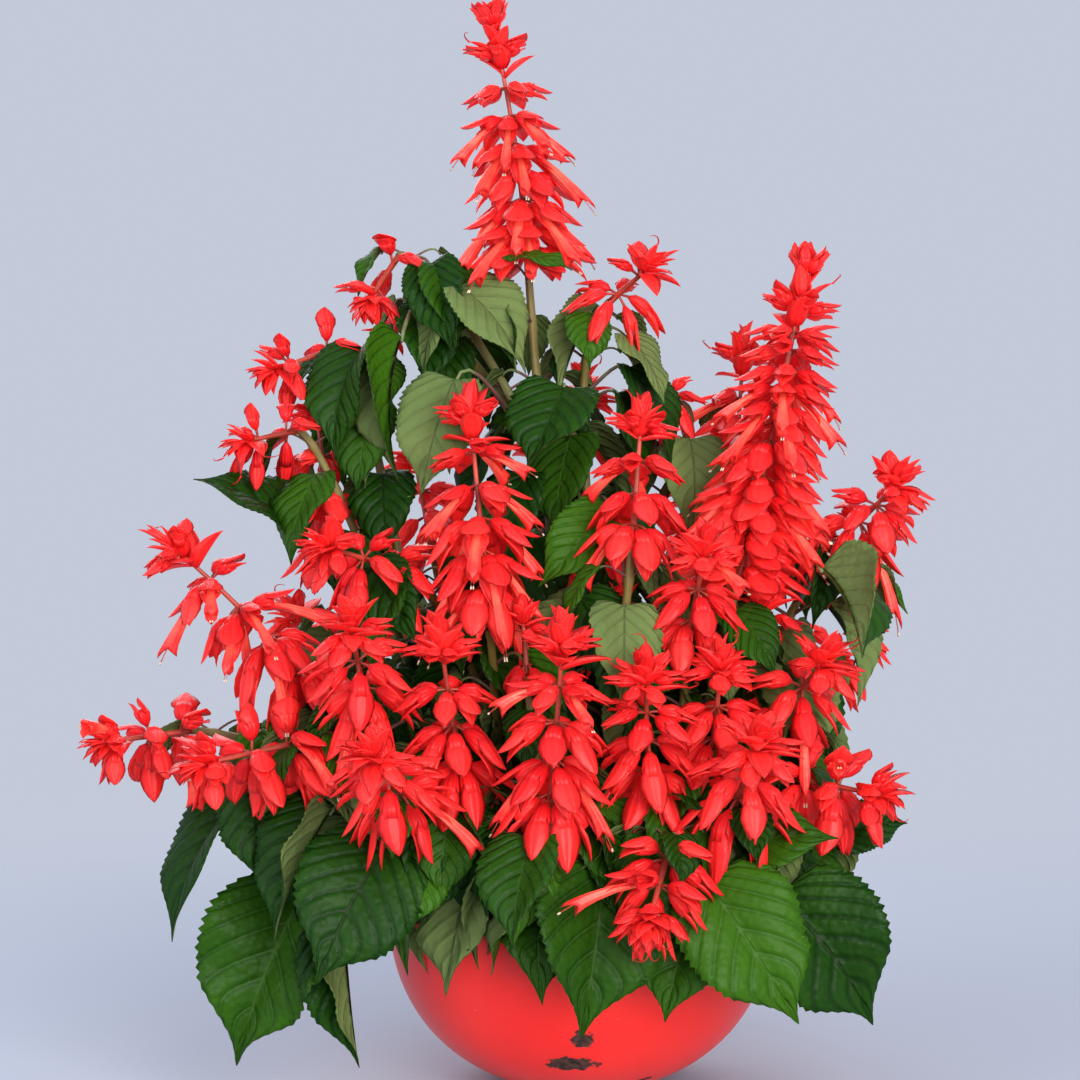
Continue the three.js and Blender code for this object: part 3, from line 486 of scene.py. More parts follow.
def tube_places(rings, sides):
    """A place on a tube: the share along it, then the cosine and the sine of the angle round it."""
    cosine, sine = circle(sides)
    along = np.repeat(np.linspace(0, 1, rings), sides)
    return np.stack([along, np.tile(cosine, rings), np.tile(sine, rings)], -1)


def add_tubes(pile, paths, radii, sides, tones, power=2.0, paint=0):
    """Tubes along paths, closed at both ends."""
    rings = paths.shape[1]
    points = tube(paths, radii, sides, power)
    pile.add(points, tube_places(rings, sides), tones, ring_faces(rings, sides), paint=paint)


# ------------------------------------------------------------------ the planting, worked out
def plan_spikes():
    """Each spike of the table with its axis: a Bezier curve toward its bowed middle."""
    spikes = []
    for order, (name, (plant, base, tip, whorls, calyx)) in enumerate(SPIKES.items(), start=1):
        middle = (vec(base) + vec(tip)) / 2 + vec(BOWED.get(name, (0, 0, 0)))
        spikes.append(Spike(name, order, plant, whorls, calyx, np.array([base, middle, tip])))
    return spikes


def plan_stems():
    """Every stem as a cubic Bezier curve. It rises from its plant's foot, or leaves the plant's first
    stem along it, and arrives at its end the way that end points."""
    arrivals = []
    for spike in plan_spikes():
        way = unit(spike.axis[1] - spike.axis[0])
        end = spike.axis[0] - RACHIS["gap"] * way
        pairs = (SIDE_PAIRS, YOUNG_PAIRS["spike"])
        fork = FORKS.get(spike.plant, FORKS["side"])
        arrivals.append((spike.name, spike.plant, end, way, STEM["width"], fork, pairs))
    for name, (plant, end, way) in SHOOTS.items():
        pairs = (SKIRT_PAIRS, YOUNG_PAIRS["shoot"])
        arrivals.append((name, plant, vec(end), unit(vec(way)), STEM["shoot"], FORKS["shoot"], pairs))
    stems, trunks = {}, {}
    for name, plant, end, way, width, fork, (pairs, young) in arrivals:
        if plant in trunks:
            controls = stems[trunks[plant]].controls
            start = bezier(controls, vec(fork))
            away, rise = bearing(controls, vec(fork)), STEM["branch_rise"]
        else:
            trunks[plant] = name
            start = vec([*PLANTS[plant], SOIL["crown"] - STEM["sunk"]])
            away, rise, pairs, young = UP, STEM["trunk_rise"], MAIN_PAIRS, TRUNK_YOUNG_PAIRS
        span = np.linalg.norm(end - start)
        reach = STEM["run_in"] + STEM["run_in_share"] * span * max(0.0, way[2])
        controls = np.array([start, start + away * rise * span, end - way * reach, end])
        stems[name] = Stem(plant, controls, width, pairs, young)
    return stems


def node_corners(node):
    """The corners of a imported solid, in millimetres."""
    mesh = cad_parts[node].data
    flat = np.zeros(len(mesh.vertices) * 3, np.float32)
    mesh.vertices.foreach_get("co", flat)
    return np.unique(np.round(flat.reshape(-1, 3) / MM, 3), axis=0)


def shared_corners(candidates, corners):
    """How many of each candidate's points, (..., points, 3), lie on a corner of the solid."""
    apart = np.linalg.norm(candidates[..., None, :] - corners, axis=-1)
    return (apart.min(axis=-1) < MATCH).sum(axis=-1)


# ------------------------------------------------------------------ leaves
def blade_frame(leaf):
    """The blade's length and its ways along, across and out of its upper side."""
    chord = leaf.tip - leaf.base
    length = np.linalg.norm(chord, axis=-1, keepdims=True)
    along = chord / length
    across = unit(np.cross(leaf.facing, along))
    return length, along, across, np.cross(along, across)


def stalk_corners(leaf):
    """The four corners of the stalk where it turns into the blade, and the blade's tip."""
    _, along, across, _ = blade_frame(leaf)
    ahead = unit(leaf.base - leaf.root)
    turning = unit(ahead + along)
    left = unit(across - turning * np.sum(across * turning, -1, keepdims=True))
    above = np.cross(turning, left)
    half = STALK["width"] / 2
    offsets = np.stack([left, above, -left, -above], -2) * half
    return np.concatenate([leaf.base[..., None, :] + offsets, leaf.tip[..., None, :]], -2)


def kept_choice(choices, corners):
    """The candidate whose corners the solid has, or none where the solid left the leaf out."""
    found = shared_corners(stalk_corners(choices), corners)
    best = int(np.argmax(found))
    return best if found[best] >= ENOUGH else None


def chosen(choices, k):
    """One leaf out of an array of candidates, which may share a part."""
    count = len(choices.base)
    return Leaf(*(np.broadcast_to(part, (count, *np.shape(part)[1:]))[k] for part in choices))


def leaf_on_stem(controls, share, compass, length, droop, seed):
    """Leaves whose stalks set out along compass angles and whose blades hang from the stalks' ends."""
    root = bezier(controls, vec(share))
    out = np.stack([np.cos(compass), np.sin(compass), np.zeros_like(compass)], -1)
    stalk = STANCE["stalk"] + STANCE["per_length"] * length
    base = root + out * stalk + UP * STANCE["rise"] * stalk
    along = out * np.cos(droop) - UP * np.sin(droop)
    facing = out * np.sin(droop) + UP * np.cos(droop)
    count = np.ones(len(compass))
    return Leaf(
        root=count[:, None] * root,
        base=base,
        tip=base + along * length,
        facing=facing,
        aspect=count * LEAF["aspect"],
        seed=count * seed,
        turned=count * (chance(seed + 0.97) < TURNED_SHARE),
        folded=count * np.sign(chance(seed + 0.91) - 0.5) * (chance(seed + 0.93) < FOLDED_SHARE),
    )


def large_leaves(stems, solids):
    """The named large leaves, each where its solid has it, and the leaves that only the surfaces have."""
    leaves = {}
    for number, (stem, share, base, tip, facing, aspect) in enumerate(LARGE_LEAVES + INNER_LEAVES):
        upper = unit(vec(facing))
        shares = np.minimum(share + np.repeat(ROOT_SHIFTS, len(LEAF_SHIFTS)), LAST_ROOT)
        shift = np.tile(LEAF_SHIFTS, len(ROOT_SHIFTS))[:, None]
        ones = np.ones_like(shares)
        choices = Leaf(
            root=bezier(stems[stem].controls, shares),
            base=vec(base) + upper * shift / 2,
            tip=vec(tip) + upper * shift,
            facing=ones[:, None] * upper,
            aspect=ones * aspect,
            seed=ones * number,
            turned=ones * (number in TURNED_LEAVES),
            folded=ones * FOLDED_LEAVES.get(number, 0),
        )
        plant = stems[stem].plant
        k = kept_choice(choices, solids[plant]) if number < len(LARGE_LEAVES) else 0
        leaves.setdefault(plant, []).append(chosen(choices, k or 0))
    return leaves


def paired_leaves(stems, solids):
    """The leaves that stems bear in opposite pairs, each pair square to the one below, and the young
    pairs between them. A leaf that its solid leaves out is drawn smaller."""
    leaves = {}
    for order, stem in enumerate(stems.values()):
        end = stem.controls[-1]
        outward = np.arctan2(end[1], end[0])
        rows = [(share, length, False) for share, length in stem.pairs]
        rows += [(share, length, True) for share, length in stem.young]
        for pair, (share, length, is_young) in enumerate(rows):
            for side in (0, 1):
                seed = 1000 + order * 10 + pair * 2 + side
                stray = STANCE["stray_turn"] * (chance(seed) - 0.5)
                turns = vec([0]) if is_young else vec(TURNS)
                compass = outward + np.radians(90 + 180 * side + 90 * pair + stray) + np.radians(turns)
                droop = np.radians(STANCE["droop"] + STANCE["stray_droop"] * chance(seed + 0.5))
                size = length * between(*STRAY_SIZE, seed + 0.7)
                choices = leaf_on_stem(stem.controls, share, compass, size, droop, seed)
                k = None if is_young else kept_choice(choices, solids[stem.plant])
                if k is None:
                    size *= 1 if is_young else FILLER_SIZE
                    choices = leaf_on_stem(stem.controls, share, compass, size, droop, seed)
                leaves.setdefault(stem.plant, []).append(chosen(choices, k or 0))
    return leaves


def blade_stations(teeth):
    """Shares along a blade, with two rows to a tooth: its notch and its point, which leans forward."""
    tooth = np.repeat(np.arange(teeth), 2)
    is_point = np.tile([0, 1], teeth)
    rows = 0.03 + 0.955 * (tooth + 0.7 * is_point) / teeth
    shares = np.concatenate([[0.0], rows, [1.0]])
    reach = np.concatenate([[0.0], 2 * is_point - 1, [0.0]])
    return shares, reach


def blade_outline(u):
    """Half width over the fullest half width: broad near the stalk, full a third of the way along, then
    drawn out to a fine tip."""
    drawn_out = ((u - 0.62) / 0.36).clip(0, 1)
    full = np.sin(np.pi * u**0.62).clip(0) ** 0.66
    return full * (1 - 0.76 * drawn_out**2 * (3 - 2 * drawn_out))


def edge_waves(u, v, size, seeds, settings):
    """How far a blade's edge waves up and down: a sine along it, stronger outward and none at its ends."""
    turns = between(*WAVES["turns"], seeds + 0.11)
    phase = 2 * np.pi * (turns * u + chance(seeds + 0.23)) + WAVES["out_of_step"] * np.sign(v)
    height = settings.wave * between(*WAVES["height"], seeds + 0.31)
    return height * size * np.abs(v) ** 2 * np.sin(np.pi * u) * np.sin(phase)


def vein_swelling(u, v, growth, settings):
    """How far a blade rises between its side veins, which are lines of equal phase: the root of the sine
    of that phase, less by the midrib, the edge and both ends."""
    edge = np.abs(v)
    slant = SIDE_VEINS["slant"] * edge * (SIDE_VEINS["straight"] + SIDE_VEINS["bent"] * edge)
    phase = SIDE_VEINS["count"] * (u - slant * (1 - SIDE_VEINS["less_at_tip"] * u))
    swell = np.abs(np.sin(np.pi * phase)) ** 0.5 * (edge / 0.15).clip(0, 1) * (1 - 0.7 * edge**4)
    return settings.swell / MM * swell * np.sin(np.pi * u.clip(0, 1)) ** 0.5 * growth


def half_slopes(u, v, leaves, seeds, settings):
    """The angle at which each half of a blade leaves the midrib, and its slope farther out, which lessens
    toward the edge. The folded half of a folded leaf is turned right over."""
    rise = settings.fold * between(*HALVES["rise"], seeds + 0.61)
    over = np.radians(between(*HALVES["over"], seeds + 0.63)) * mix(1, HALVES["over_at_tip"], u)
    rise = np.where(leaves.folded[:, None, None] * np.sign(v) > 0, over, rise + 0 * u)
    return rise, rise - CURL * between(*HALVES["curl"], seeds + 0.67) * np.abs(v)


def blade_surface(leaves, settings, kind):
    """Blades as two faces over a grid: u runs from stalk to tip and v from edge to edge. Each half goes out
    from the midrib at the mean of its slopes, with a toothed edge, and waves and swells square to its
    slope. Both are then twisted together toward the tip. The spine of the blade arches along its length,
    sways to one side and nods at its tip, and each half runs back in a lobe by the stalk."""
    shares, tooth = blade_stations(TEETH[kind])
    u, v = np.meshgrid(shares, BLADE_COLUMNS[kind], indexing="ij")
    edge, side = np.abs(v), np.sign(v)
    length, along, across, above = blade_frame(leaves)
    seeds = leaves.seed[:, None, None]
    size = length[..., None]
    half = size * leaves.aspect[:, None, None] / 2
    growth = (size / FULL_GROWN).clip(0.4, 1)

    each_tooth = seeds + 7.1 * np.arange(len(shares))[:, None] + side
    deep = settings.tooth * between(*TEETH_DEPTH, each_tooth)
    toothed = 1 + deep * tooth[:, None] * (edge == 1) * (u > 0.05)
    out = np.maximum(edge * blade_outline(u) * half * toothed, edge * mix(0.9, 0.15, u))
    back = LEAF["lobe"] * edge * (1 - u) ** 4 * (u / 0.05).clip(0, 1)

    relief = edge_waves(u, v, size, seeds, settings) + vein_swelling(u, v, growth, settings)
    rise, slope = half_slopes(u, v, leaves, seeds, settings)
    halfway = (rise + slope) / 2
    sideways = side * (out * np.cos(halfway) - relief * np.sin(slope))
    bend = out * np.sin(halfway) + relief * np.cos(slope)

    is_folded = np.abs(leaves.folded[:, None, None])
    twist = settings.twist * (2 * chance(seeds + 0.71) - 1) * (0.25 + u) * (1 - 0.8 * is_folded)
    turned_out = sideways * np.cos(twist) - bend * np.sin(twist)
    turned_up = sideways * np.sin(twist) + bend * np.cos(twist)
    nod = size * u**3 * between(*TIP_NOD, seeds + 0.41)
    sway = size * u**2 * between(*TIP_SWAY, seeds + 0.53)
    lift = LEAF["arch"] * size * 4 * u * (1 - u) + turned_up - nod

    ways = [axis[:, None, None] for axis in (along, across, above)]
    spine = leaves.base[:, None, None] + ways[0] * ((u - back) * size)[..., None]
    middle = spine + ways[1] * (turned_out + sway)[..., None] + ways[2] * lift[..., None]
    lean = side * slope * (edge > 0) + twist
    normal = ways[2] * np.cos(lean)[..., None] - ways[1] * np.sin(lean)[..., None]
    half_thick = settings.thickness / MM / 2
    rib = MIDRIB * (1 - u) * (v == 0) * growth
    outer_side = 1 - leaves.turned[:, None, None]
    upper = middle + normal * (half_thick + rib * (1 - outer_side))[..., None]
    lower = middle - normal * (half_thick + rib * outer_side)[..., None]
    points = np.concatenate([upper.reshape(len(size), -1, 3), lower.reshape(len(size), -1, 3)], axis=1)
    faces_up = np.concatenate([outer_side + 0 * u, 1 - outer_side + 0 * u], axis=1).reshape(len(size), -1)
    flat = np.concatenate([np.stack([u, v], -1).reshape(-1, 2)] * 2)
    places = np.concatenate([np.broadcast_to(flat, (*faces_up.shape, 2)), faces_up[..., None]], -1)
    return points, places, shares


def add_leaves(pile, leaves, settings, kind):
    """Blades and their stalks. A stalk is a Bezier curve that leaves the stem and turns into the blade."""
    leaves = Leaf(*(np.stack(part) for part in zip(*leaves)))
    points, places, shares = blade_surface(leaves, settings, kind)
    faces, rim = sheet_faces(len(shares), len(BLADE_COLUMNS[kind]))
    tones = chance(leaves.seed + 0.87)
    pile.add(points, places, tones, faces, rim)

    length, along, _, above = blade_frame(leaves)
    span = np.linalg.norm(leaves.base - leaves.root, axis=-1, keepdims=True)
    ahead = (leaves.base - leaves.root) / span
    controls = np.stack(
        [
            leaves.root,
            leaves.root + ahead * span * 0.4 + UP * span * 0.1,
            leaves.base - along * span * 0.3 - above * 0.3,
            leaves.base + along * 2.5 - above * 0.35,
        ]
    )
    rings, sides, power = TUBES["stalk"]
    steps = np.linspace(0, 1, rings)
    paths = np.stack([bezier(controls[:, k], steps) for k in range(len(span))])
    girth = (length / FULL_GROWN).clip(0.5, 1.1) * STALK["width"] / 2
    radii = girth * mix(1.2, 0.8, steps)[None]
    add_tubes(pile, paths, radii, sides, tones, power, STALK_PAINT)


# ------------------------------------------------------------------ stems
def add_stems(pile, stems, settings):
    """Square stems that taper upward and swell a little where they bear leaves."""
    rings, sides, power = TUBES["stem"]
    steps = np.linspace(0, 1, rings)
    for order, stem in enumerate(stems):
        swollen = sum(bell(steps, share, SWELLING_LENGTH) for share, _ in [*stem.pairs, *stem.young])
        radii = stem.width / 2 * mix(*STEM_TAPER, steps) * (1 + settings.node_swell * swollen)
        paths = bezier(stem.controls, steps)[None]
        add_tubes(pile, paths, radii[None], sides, chance(vec([order + 0.5])), power)


# ------------------------------------------------------------------ flowers
def only(flowers, which):
    """Only the flowers that a mask picks out."""
    return Flowers(*(part[which] for part in flowers))


def ways_round(ahead):
    """Two ways square to an axis and to each other."""
    east = unit(SIDEWAYS - ahead * ahead[:, :1])
    return east, np.cross(ahead, east)


def place_flowers(spike, lift, start=WHORL["start"], order=0):
    """Where each flower of a spike sits, the way it points, its length and its age, which is 1 at the
    foot of the spike and falls to 0 at its tip. A lift in degrees raises them all, start is where a whorl
    sits in its own stretch of the axis, and order keeps one set's random draws apart from another's."""
    whorl = np.repeat(np.arange(spike.whorls), WHORL["flowers"])
    flower = np.tile(np.arange(WHORL["flowers"]), spike.whorls)
    age = 1 - whorl / max(spike.whorls - WHORL["tip_gap"], 1)
    weight = np.sqrt(age)
    ahead = bearing(spike.axis, (whorl + WHORL["start"]) / spike.whorls)
    east, north = ways_round(ahead)
    seed = (spike.order + order) * 100 + whorl * 10 + flower
    turn = 360 / WHORL["flowers"] * flower + WHORL["turn"] * whorl
    turn = np.radians(turn + WHORL["stray_turn"] * (chance(seed) - 0.5))[:, None]
    level = mix(WHORL["tip_rise"], WHORL["foot_rise"], weight)
    rise = np.radians(level + lift + WHORL["stray_rise"] * (chance(seed + 0.3) - 0.5))[:, None]
    out = east * np.cos(turn) + north * np.sin(turn)
    hang = (HANG["least"] + HANG["per_whorl"] * spike.whorls) * weight[:, None]
    along = unit(out * np.cos(rise) + ahead * np.sin(rise) - UP * hang)
    grown = mix(CALYX["young"], 1, np.minimum(1, CALYX["growth"] * age))
    length = spike.calyx * grown + CALYX["stalk"] * (1 + age)
    root = bezier(spike.axis, (whorl + start) / spike.whorls)
    return Flowers(root, along, length, age, seed, whorl, flower)


def square_ways(along):
    """The level way across each flower, and the way out of its upper side."""
    side = unit(np.cross(along, UP))
    return side, np.cross(side, along)


def bell_corners(flowers):
    """Five corners of the plain bell that a solid has for each calyx."""
    side, above = square_ways(flowers.along)
    half = (CALYX["width"] * flowers.length / 2)[:, None]

    def at(share, rise, swing):
        """A point a share of the way forward, raised and swung out by so many half widths."""
        forward = flowers.along * (share * flowers.length)[:, None]
        return flowers.root + forward + above * rise * half + side * swing * half

    mouth, ring, rise = (CALYX[key] for key in ("mouth", "ring", "ring_rise"))
    corners = [at(ring, rise, 1), at(ring, rise, -1), at(ring, -1, 0), at(1, mouth, 0)]
    return np.stack([*corners, at(CALYX["lower"], -mouth, 0)], axis=1)


def settled_flowers(spike):
    """The flowers of a spike, each raised as far as its solid is."""
    lifted = [place_flowers(spike, lift) for lift in FLOWER_LIFTS]
    corners = node_corners("spike_" + spike.name)
    found = np.stack([shared_corners(bell_corners(choice), corners) for choice in lifted])
    best = np.where(found.max(0) >= ENOUGH, found.argmax(0), 0)
    picked = (np.stack(part)[best, np.arange(len(best))] for part in zip(*lifted))
    return Flowers(*picked)


def calyx_template():
    """A calyx's tube as rings round the line of the flower: across, over and forward. It swells from its
    stalk to its mouth, and turns back inside down to its floor."""
    angle = np.radians(360 / BELL_SIDES * np.arange(BELL_SIDES))
    ahead = vec([0, 0.14, 0.34, 0.5, 0.47, 0.3])[:, None]
    radius = vec([0.13, 0.48, 0.66, 0.62, 0.5, 0.3])[:, None]
    forward = (CALYX_START + (1 - CALYX_START) * ahead) * np.ones(BELL_SIDES)
    points = np.stack([radius * np.cos(angle), 0.92 * radius * np.sin(angle), forward], -1).reshape(1, -1, 3)
    places = np.stack(np.broadcast_arrays(ahead, np.cos(angle), np.sin(angle)), -1)
    return points, places.reshape(-1, 3), ring_faces(len(ahead), BELL_SIDES)


def lip_template(lips, turn):
    """Pointed lips or bracts, one a flower, as rings from foot to point. Each ring is a shallow arch with
    a keel. The foot stands off the line of the flower by its root and the point by its spread, and the
    whole is turned round that line."""
    across = vec([-1, -0.5, 0, 0.5, 1, 0])
    arch = vec([0, 0.75, 1.1, 0.75, 0, 0.5])
    share = vec([0, 0.22, 0.46, 0.7, 0.88, 1])[:, None]
    profile = vec([0.55, 0.9, 1.0, 0.76, 0.4, 0.03])[:, None]
    parts = (np.broadcast_to(part, np.shape(lips["lean"])) for part in lips.values())
    start, end, wide, root, spread, lean = (part[:, None, None] for part in parts)
    level = mix(root, spread, share**1.2) + 0.12 * share**5
    sideways = wide * profile * across + lean * share**2
    outward = level + 0.42 * wide * profile * (arch - 1)
    forward = mix(start, end, share) * np.ones(len(across))
    swing = np.radians(turn)
    points = np.stack(
        [
            sideways * np.cos(swing) - outward * np.sin(swing),
            sideways * np.sin(swing) + outward * np.cos(swing),
            forward,
        ],
        -1,
    )
    angle = np.radians(90 + turn - 55 * across)
    places = np.stack(np.broadcast_arrays(mix(0.3, 1, share), np.cos(angle), np.sin(angle)), -1)
    return points.reshape(len(start), -1, 3), places.reshape(-1, 3), ring_faces(len(share), len(across))


def corolla_template():
    """A corolla as rings: a slim tube that widens to a hooded upper lip and a shorter lower lip, which
    turns back."""
    angle = np.radians(360 / BELL_SIDES * np.arange(BELL_SIDES))
    hood = bell(angle, np.radians(90), np.radians(50))
    lower = bell(angle, np.radians(270), np.radians(55))
    ahead = vec([0, 0.35, 0.65, 0.84, 0.94, 1, 0.93, 0.7])[:, None]
    edge = 0.8 + 0.2 * hood + 0.05 * lower
    radius = vec([0.5, 0.6, 0.82, 1.0, 1.05, 0, 0.85, 0.5])[:, None] * np.ones(BELL_SIDES)
    radius[4] += 0.2 * lower
    radius[5] = 0.8 + 0.7 * lower
    parts = [0.85 * radius * np.cos(angle), radius * np.sin(angle), ahead * edge]
    points = np.stack(parts, -1).reshape(1, -1, 3)
    places = np.stack(np.broadcast_arrays(ahead, np.cos(angle), np.sin(angle)), -1)
    return points, places.reshape(-1, 3), ring_faces(len(ahead), BELL_SIDES)


def slim_template(start, end, thick_start, thick_end, sides=5, rings=4):
    """A slim tube along the line of a flower, with radii in millimetres."""
    cosine, sine = circle(sides)
    share = np.linspace(0, 1, rings)[:, None]
    radius = mix(thick_start, thick_end, share)
    parts = [radius * cosine, radius * sine, mix(start, end, share) * np.ones(sides)]
    points = np.stack(parts, -1).reshape(1, -1, 3)
    return points, tube_places(rings, sides), ring_faces(rings, sides)


def set_out(template, flowers, half, arch, sag):
    """A template set on each flower, in half widths across and over and in lengths forward. Its middle is
    bowed upward by its arch, and it sinks by its sag times the square of the way forward."""
    side, above = square_ways(flowers.along)
    across, over, forward = (template[..., k, None] for k in range(3))
    length, half, arch, sag = (part[:, None, None] for part in (flowers.length, half, arch, sag))
    points = flowers.root[:, None] + side[:, None] * across * half
    points = points + above[:, None] * (over * half + arch * length * forward * (1 - forward))
    return points + flowers.along[:, None] * forward * length - UP * sag * length * forward**2


def add_calyces(pile, flowers, gape, slimness, arch, sag):
    """Calyces and the short stalks that carry them. A calyx is a tube with a broad upper lip and a
    narrower lower one, which meet in a closed calyx and stand apart in one that gapes."""
    tones = chance(flowers.seed + TONE_SEED)
    half = CALYX["width"] / 2 * slimness * flowers.length
    lean = LIP_LEAN * (chance(flowers.seed + 0.33) - 0.5)
    upper = {**UPPER_LIP, "spread": mix(*UPPER_SPREAD, gape), "lean": lean}
    lower = {**LOWER_LIP, "spread": mix(*LOWER_SPREAD, gape), "lean": -lean}
    for template, places, faces in (calyx_template(), lip_template(upper, 0), lip_template(lower, 180)):
        pile.add(set_out(template, flowers, half, arch, sag), places, tones, faces)
    template, places, faces = slim_template(*FLOWER_STALK)
    stalks = set_out(template, flowers, np.ones_like(half), arch, sag)
    pile.add(stalks, places, tones, faces, paint=RACHIS_PAINT)


def add_bracts(pile, buds, settings):
    """The broad bracts at the tip of a spike, hollow sides inward. Gives the points they end in."""
    ones = np.ones(len(buds.seed))
    half = CALYX["width"] / 2 * buds.length
    lean = BRACT_LEAN * (chance(buds.seed + 0.33) - 0.5)
    outer = 1 - buds.flower / TIP_BUDS
    bracts = {**BRACT, "width": settings.bract_width, "spread": mix(*BRACT_SPREAD, outer), "lean": lean}
    template, places, faces = lip_template(bracts, 180)
    placed = set_out(template, buds, half, BRACT_ARCH * ones, 0 * ones)
    pile.add(placed, places, chance(buds.seed + TONE_SEED), faces)
    return placed[:, -LIP_POINTS:].mean(1)


def add_corollas(pile, flowers, settings, sag):
    """Corollas that come out of open calyces and sag, each with two stamens under its hood."""
    tones = chance(flowers.seed + TONE_SEED)
    start = COROLLA["start"] * flowers.length[:, None]
    along = unit(flowers.along - UP * (COROLLA["sag"] + sag[:, None]))
    root = flowers.root + flowers.along * start - UP * sag[:, None] * COROLLA["start"] * start
    reach = COROLLA["length"] * flowers.length * between(*COROLLA["out"], flowers.seed + 0.67)
    tubes = flowers._replace(root=root, along=along, length=reach)
    half = settings.corolla_width / MM / 2 * mix(*COROLLA["width"], tones)
    ones = np.ones_like(half)
    arch = between(*COROLLA["arch"], flowers.seed + 0.71)
    template, places, faces = corolla_template()
    pile.add(set_out(template, tubes, half, arch, sag / 2), places, tones, faces, paint=COROLLA_PAINT)
    thread = slim_template(*STAMEN_THREAD, sides=3)
    anther = slim_template(*ANTHER, sides=4, rings=3)
    for lean in (-STAMENS_APART / 2, STAMENS_APART / 2):
        for (template, places, faces), paint in ((thread, COROLLA_PAINT), (anther, ANTHER_PAINT)):
            points = set_out(template + vec([lean, STAMENS_RAISED, 0]), tubes, ones, arch, sag / 2)
            pile.add(points, places, tones, faces, paint=paint)


def tip_buds(spike, lowest, least_rise):
    """The bracts at the tip of a spike: each stands a golden turn on from the last, and they draw
    together, upright and smaller, from the lowest toward the tip."""
    number = np.arange(TIP_BUDS)
    rank = number / (TIP_BUDS - 1)
    share = mix(lowest, AXIS_END, rank)
    ahead = bearing(spike.axis, share)
    east, north = ways_round(ahead)
    seed = spike.order * 100 + 90 + number * 0.61
    turn = np.radians(GOLDEN_TURN * number)[:, None]
    rise = mix(least_rise, BUD_RISE["last"], rank**0.8) + BUD_RISE["stray"] * (chance(seed) - 0.5)
    rise = np.radians(rise)[:, None]
    out = east * np.cos(turn) + north * np.sin(turn)
    along = unit(out * np.cos(rise) + ahead * np.sin(rise))
    length = spike.calyx * mix(*BUD_LENGTH, rank) * between(*BUD_STRAY, seed + 0.19)
    zeros = np.zeros(TIP_BUDS)
    return Flowers(bezier(spike.axis, share), along, length, zeros, seed, zeros, number)


def add_curls(pile, buds, points):
    """Thin curls that some of the bracts end in: arcs that wind sideways as they go out and rise."""
    is_curled = chance(buds.seed + 0.47) < CURLS["share"]
    if not is_curled.any():
        return
    buds, start = only(buds, is_curled), points[is_curled]
    steps = np.linspace(0, 1, 9)
    side, above = square_ways(buds.along)
    swing = np.sign(chance(buds.seed + 0.57) - 0.5)[:, None, None]
    start = start - buds.along * buds.length[:, None] * CURLS["sunk"]
    long = (CURLS["length"] * buds.length)[:, None, None]
    forward = np.sin(CURLS["wind"] * steps)[None, :, None] * long
    sideways = (1 - np.cos(CURLS["wind"] * steps))[None, :, None] * long * swing
    lifted = (steps**2)[None, :, None] * long * CURLS["rise"]
    paths = start[:, None] + buds.along[:, None] * forward + side[:, None] * sideways
    paths = paths + above[:, None] * lifted
    radii = np.broadcast_to(mix(*CURLS["radii"], steps), (len(start), len(steps)))
    add_tubes(pile, paths, radii, 5, chance(buds.seed))


def with_more_whorls(flowers, spike):
    """The flowers of a spike and more between its whorls, up to the last two."""
    more = place_flowers(spike, 0, **BETWEEN_WHORLS)
    more = only(more, more.whorl < spike.whorls - 2)
    return Flowers(*(np.concatenate(parts) for parts in zip(flowers, more)))


def tall_ways(flowers, spike, settings):
    """The ways the flowers of a tall spike point. The lowest stand out, those above them hang, and the
    youngest lean in toward the tip."""
    level = flowers.along * vec([1, 1, 0])
    spread = settings.tall_spread * mix(*TALL["spread"], flowers.age**4)[:, None]
    young = ((TALL["leans_in"] - flowers.age) / TALL["leans_over"]).clip(0, 1)[:, None]
    ahead = bearing(spike.axis, (flowers.whorl + WHORL["start"]) / spike.whorls)
    raised = TALL["raised"] * flowers.age[:, None] ** 5 * UP
    return unit(flowers.along + spread * level + raised + TALL["lean"] * young * ahead)


def build_of(spike):
    """Whether a spike is one of the tall ones and whether it is one of the small heads."""
    return spike.whorls >= TALL["whorls"], spike.whorls <= SMALL_WHORLS


def grown_flowers(spike, settings):
    """The flowers of a spike as they stand, how many times as long as usual each is, and which of them
    have their corolla out."""
    tall, small = build_of(spike)
    flowers = settled_flowers(spike)
    if spike.name in DENSE_SPIKES:
        flowers = with_more_whorls(flowers, spike)
    if small:
        flowers = only(flowers, chance(flowers.seed + 0.43) > settings.thinning)
    youngest, oldest = (TALL["youngest"], TALL["oldest"]) if tall else (COROLLA["youngest"], 1)
    is_out = (flowers.age > youngest) & (flowers.age <= oldest) & (not small)
    is_out &= chance(flowers.seed + 0.6) < OPEN_SHARES.get(spike.name, OPEN_SHARE)
    if tall:
        flowers = flowers._replace(along=tall_ways(flowers, spike, settings))
    longer = 1 + settings.tall_reach * flowers.age * tall
    return flowers._replace(length=flowers.length * longer), longer, is_out


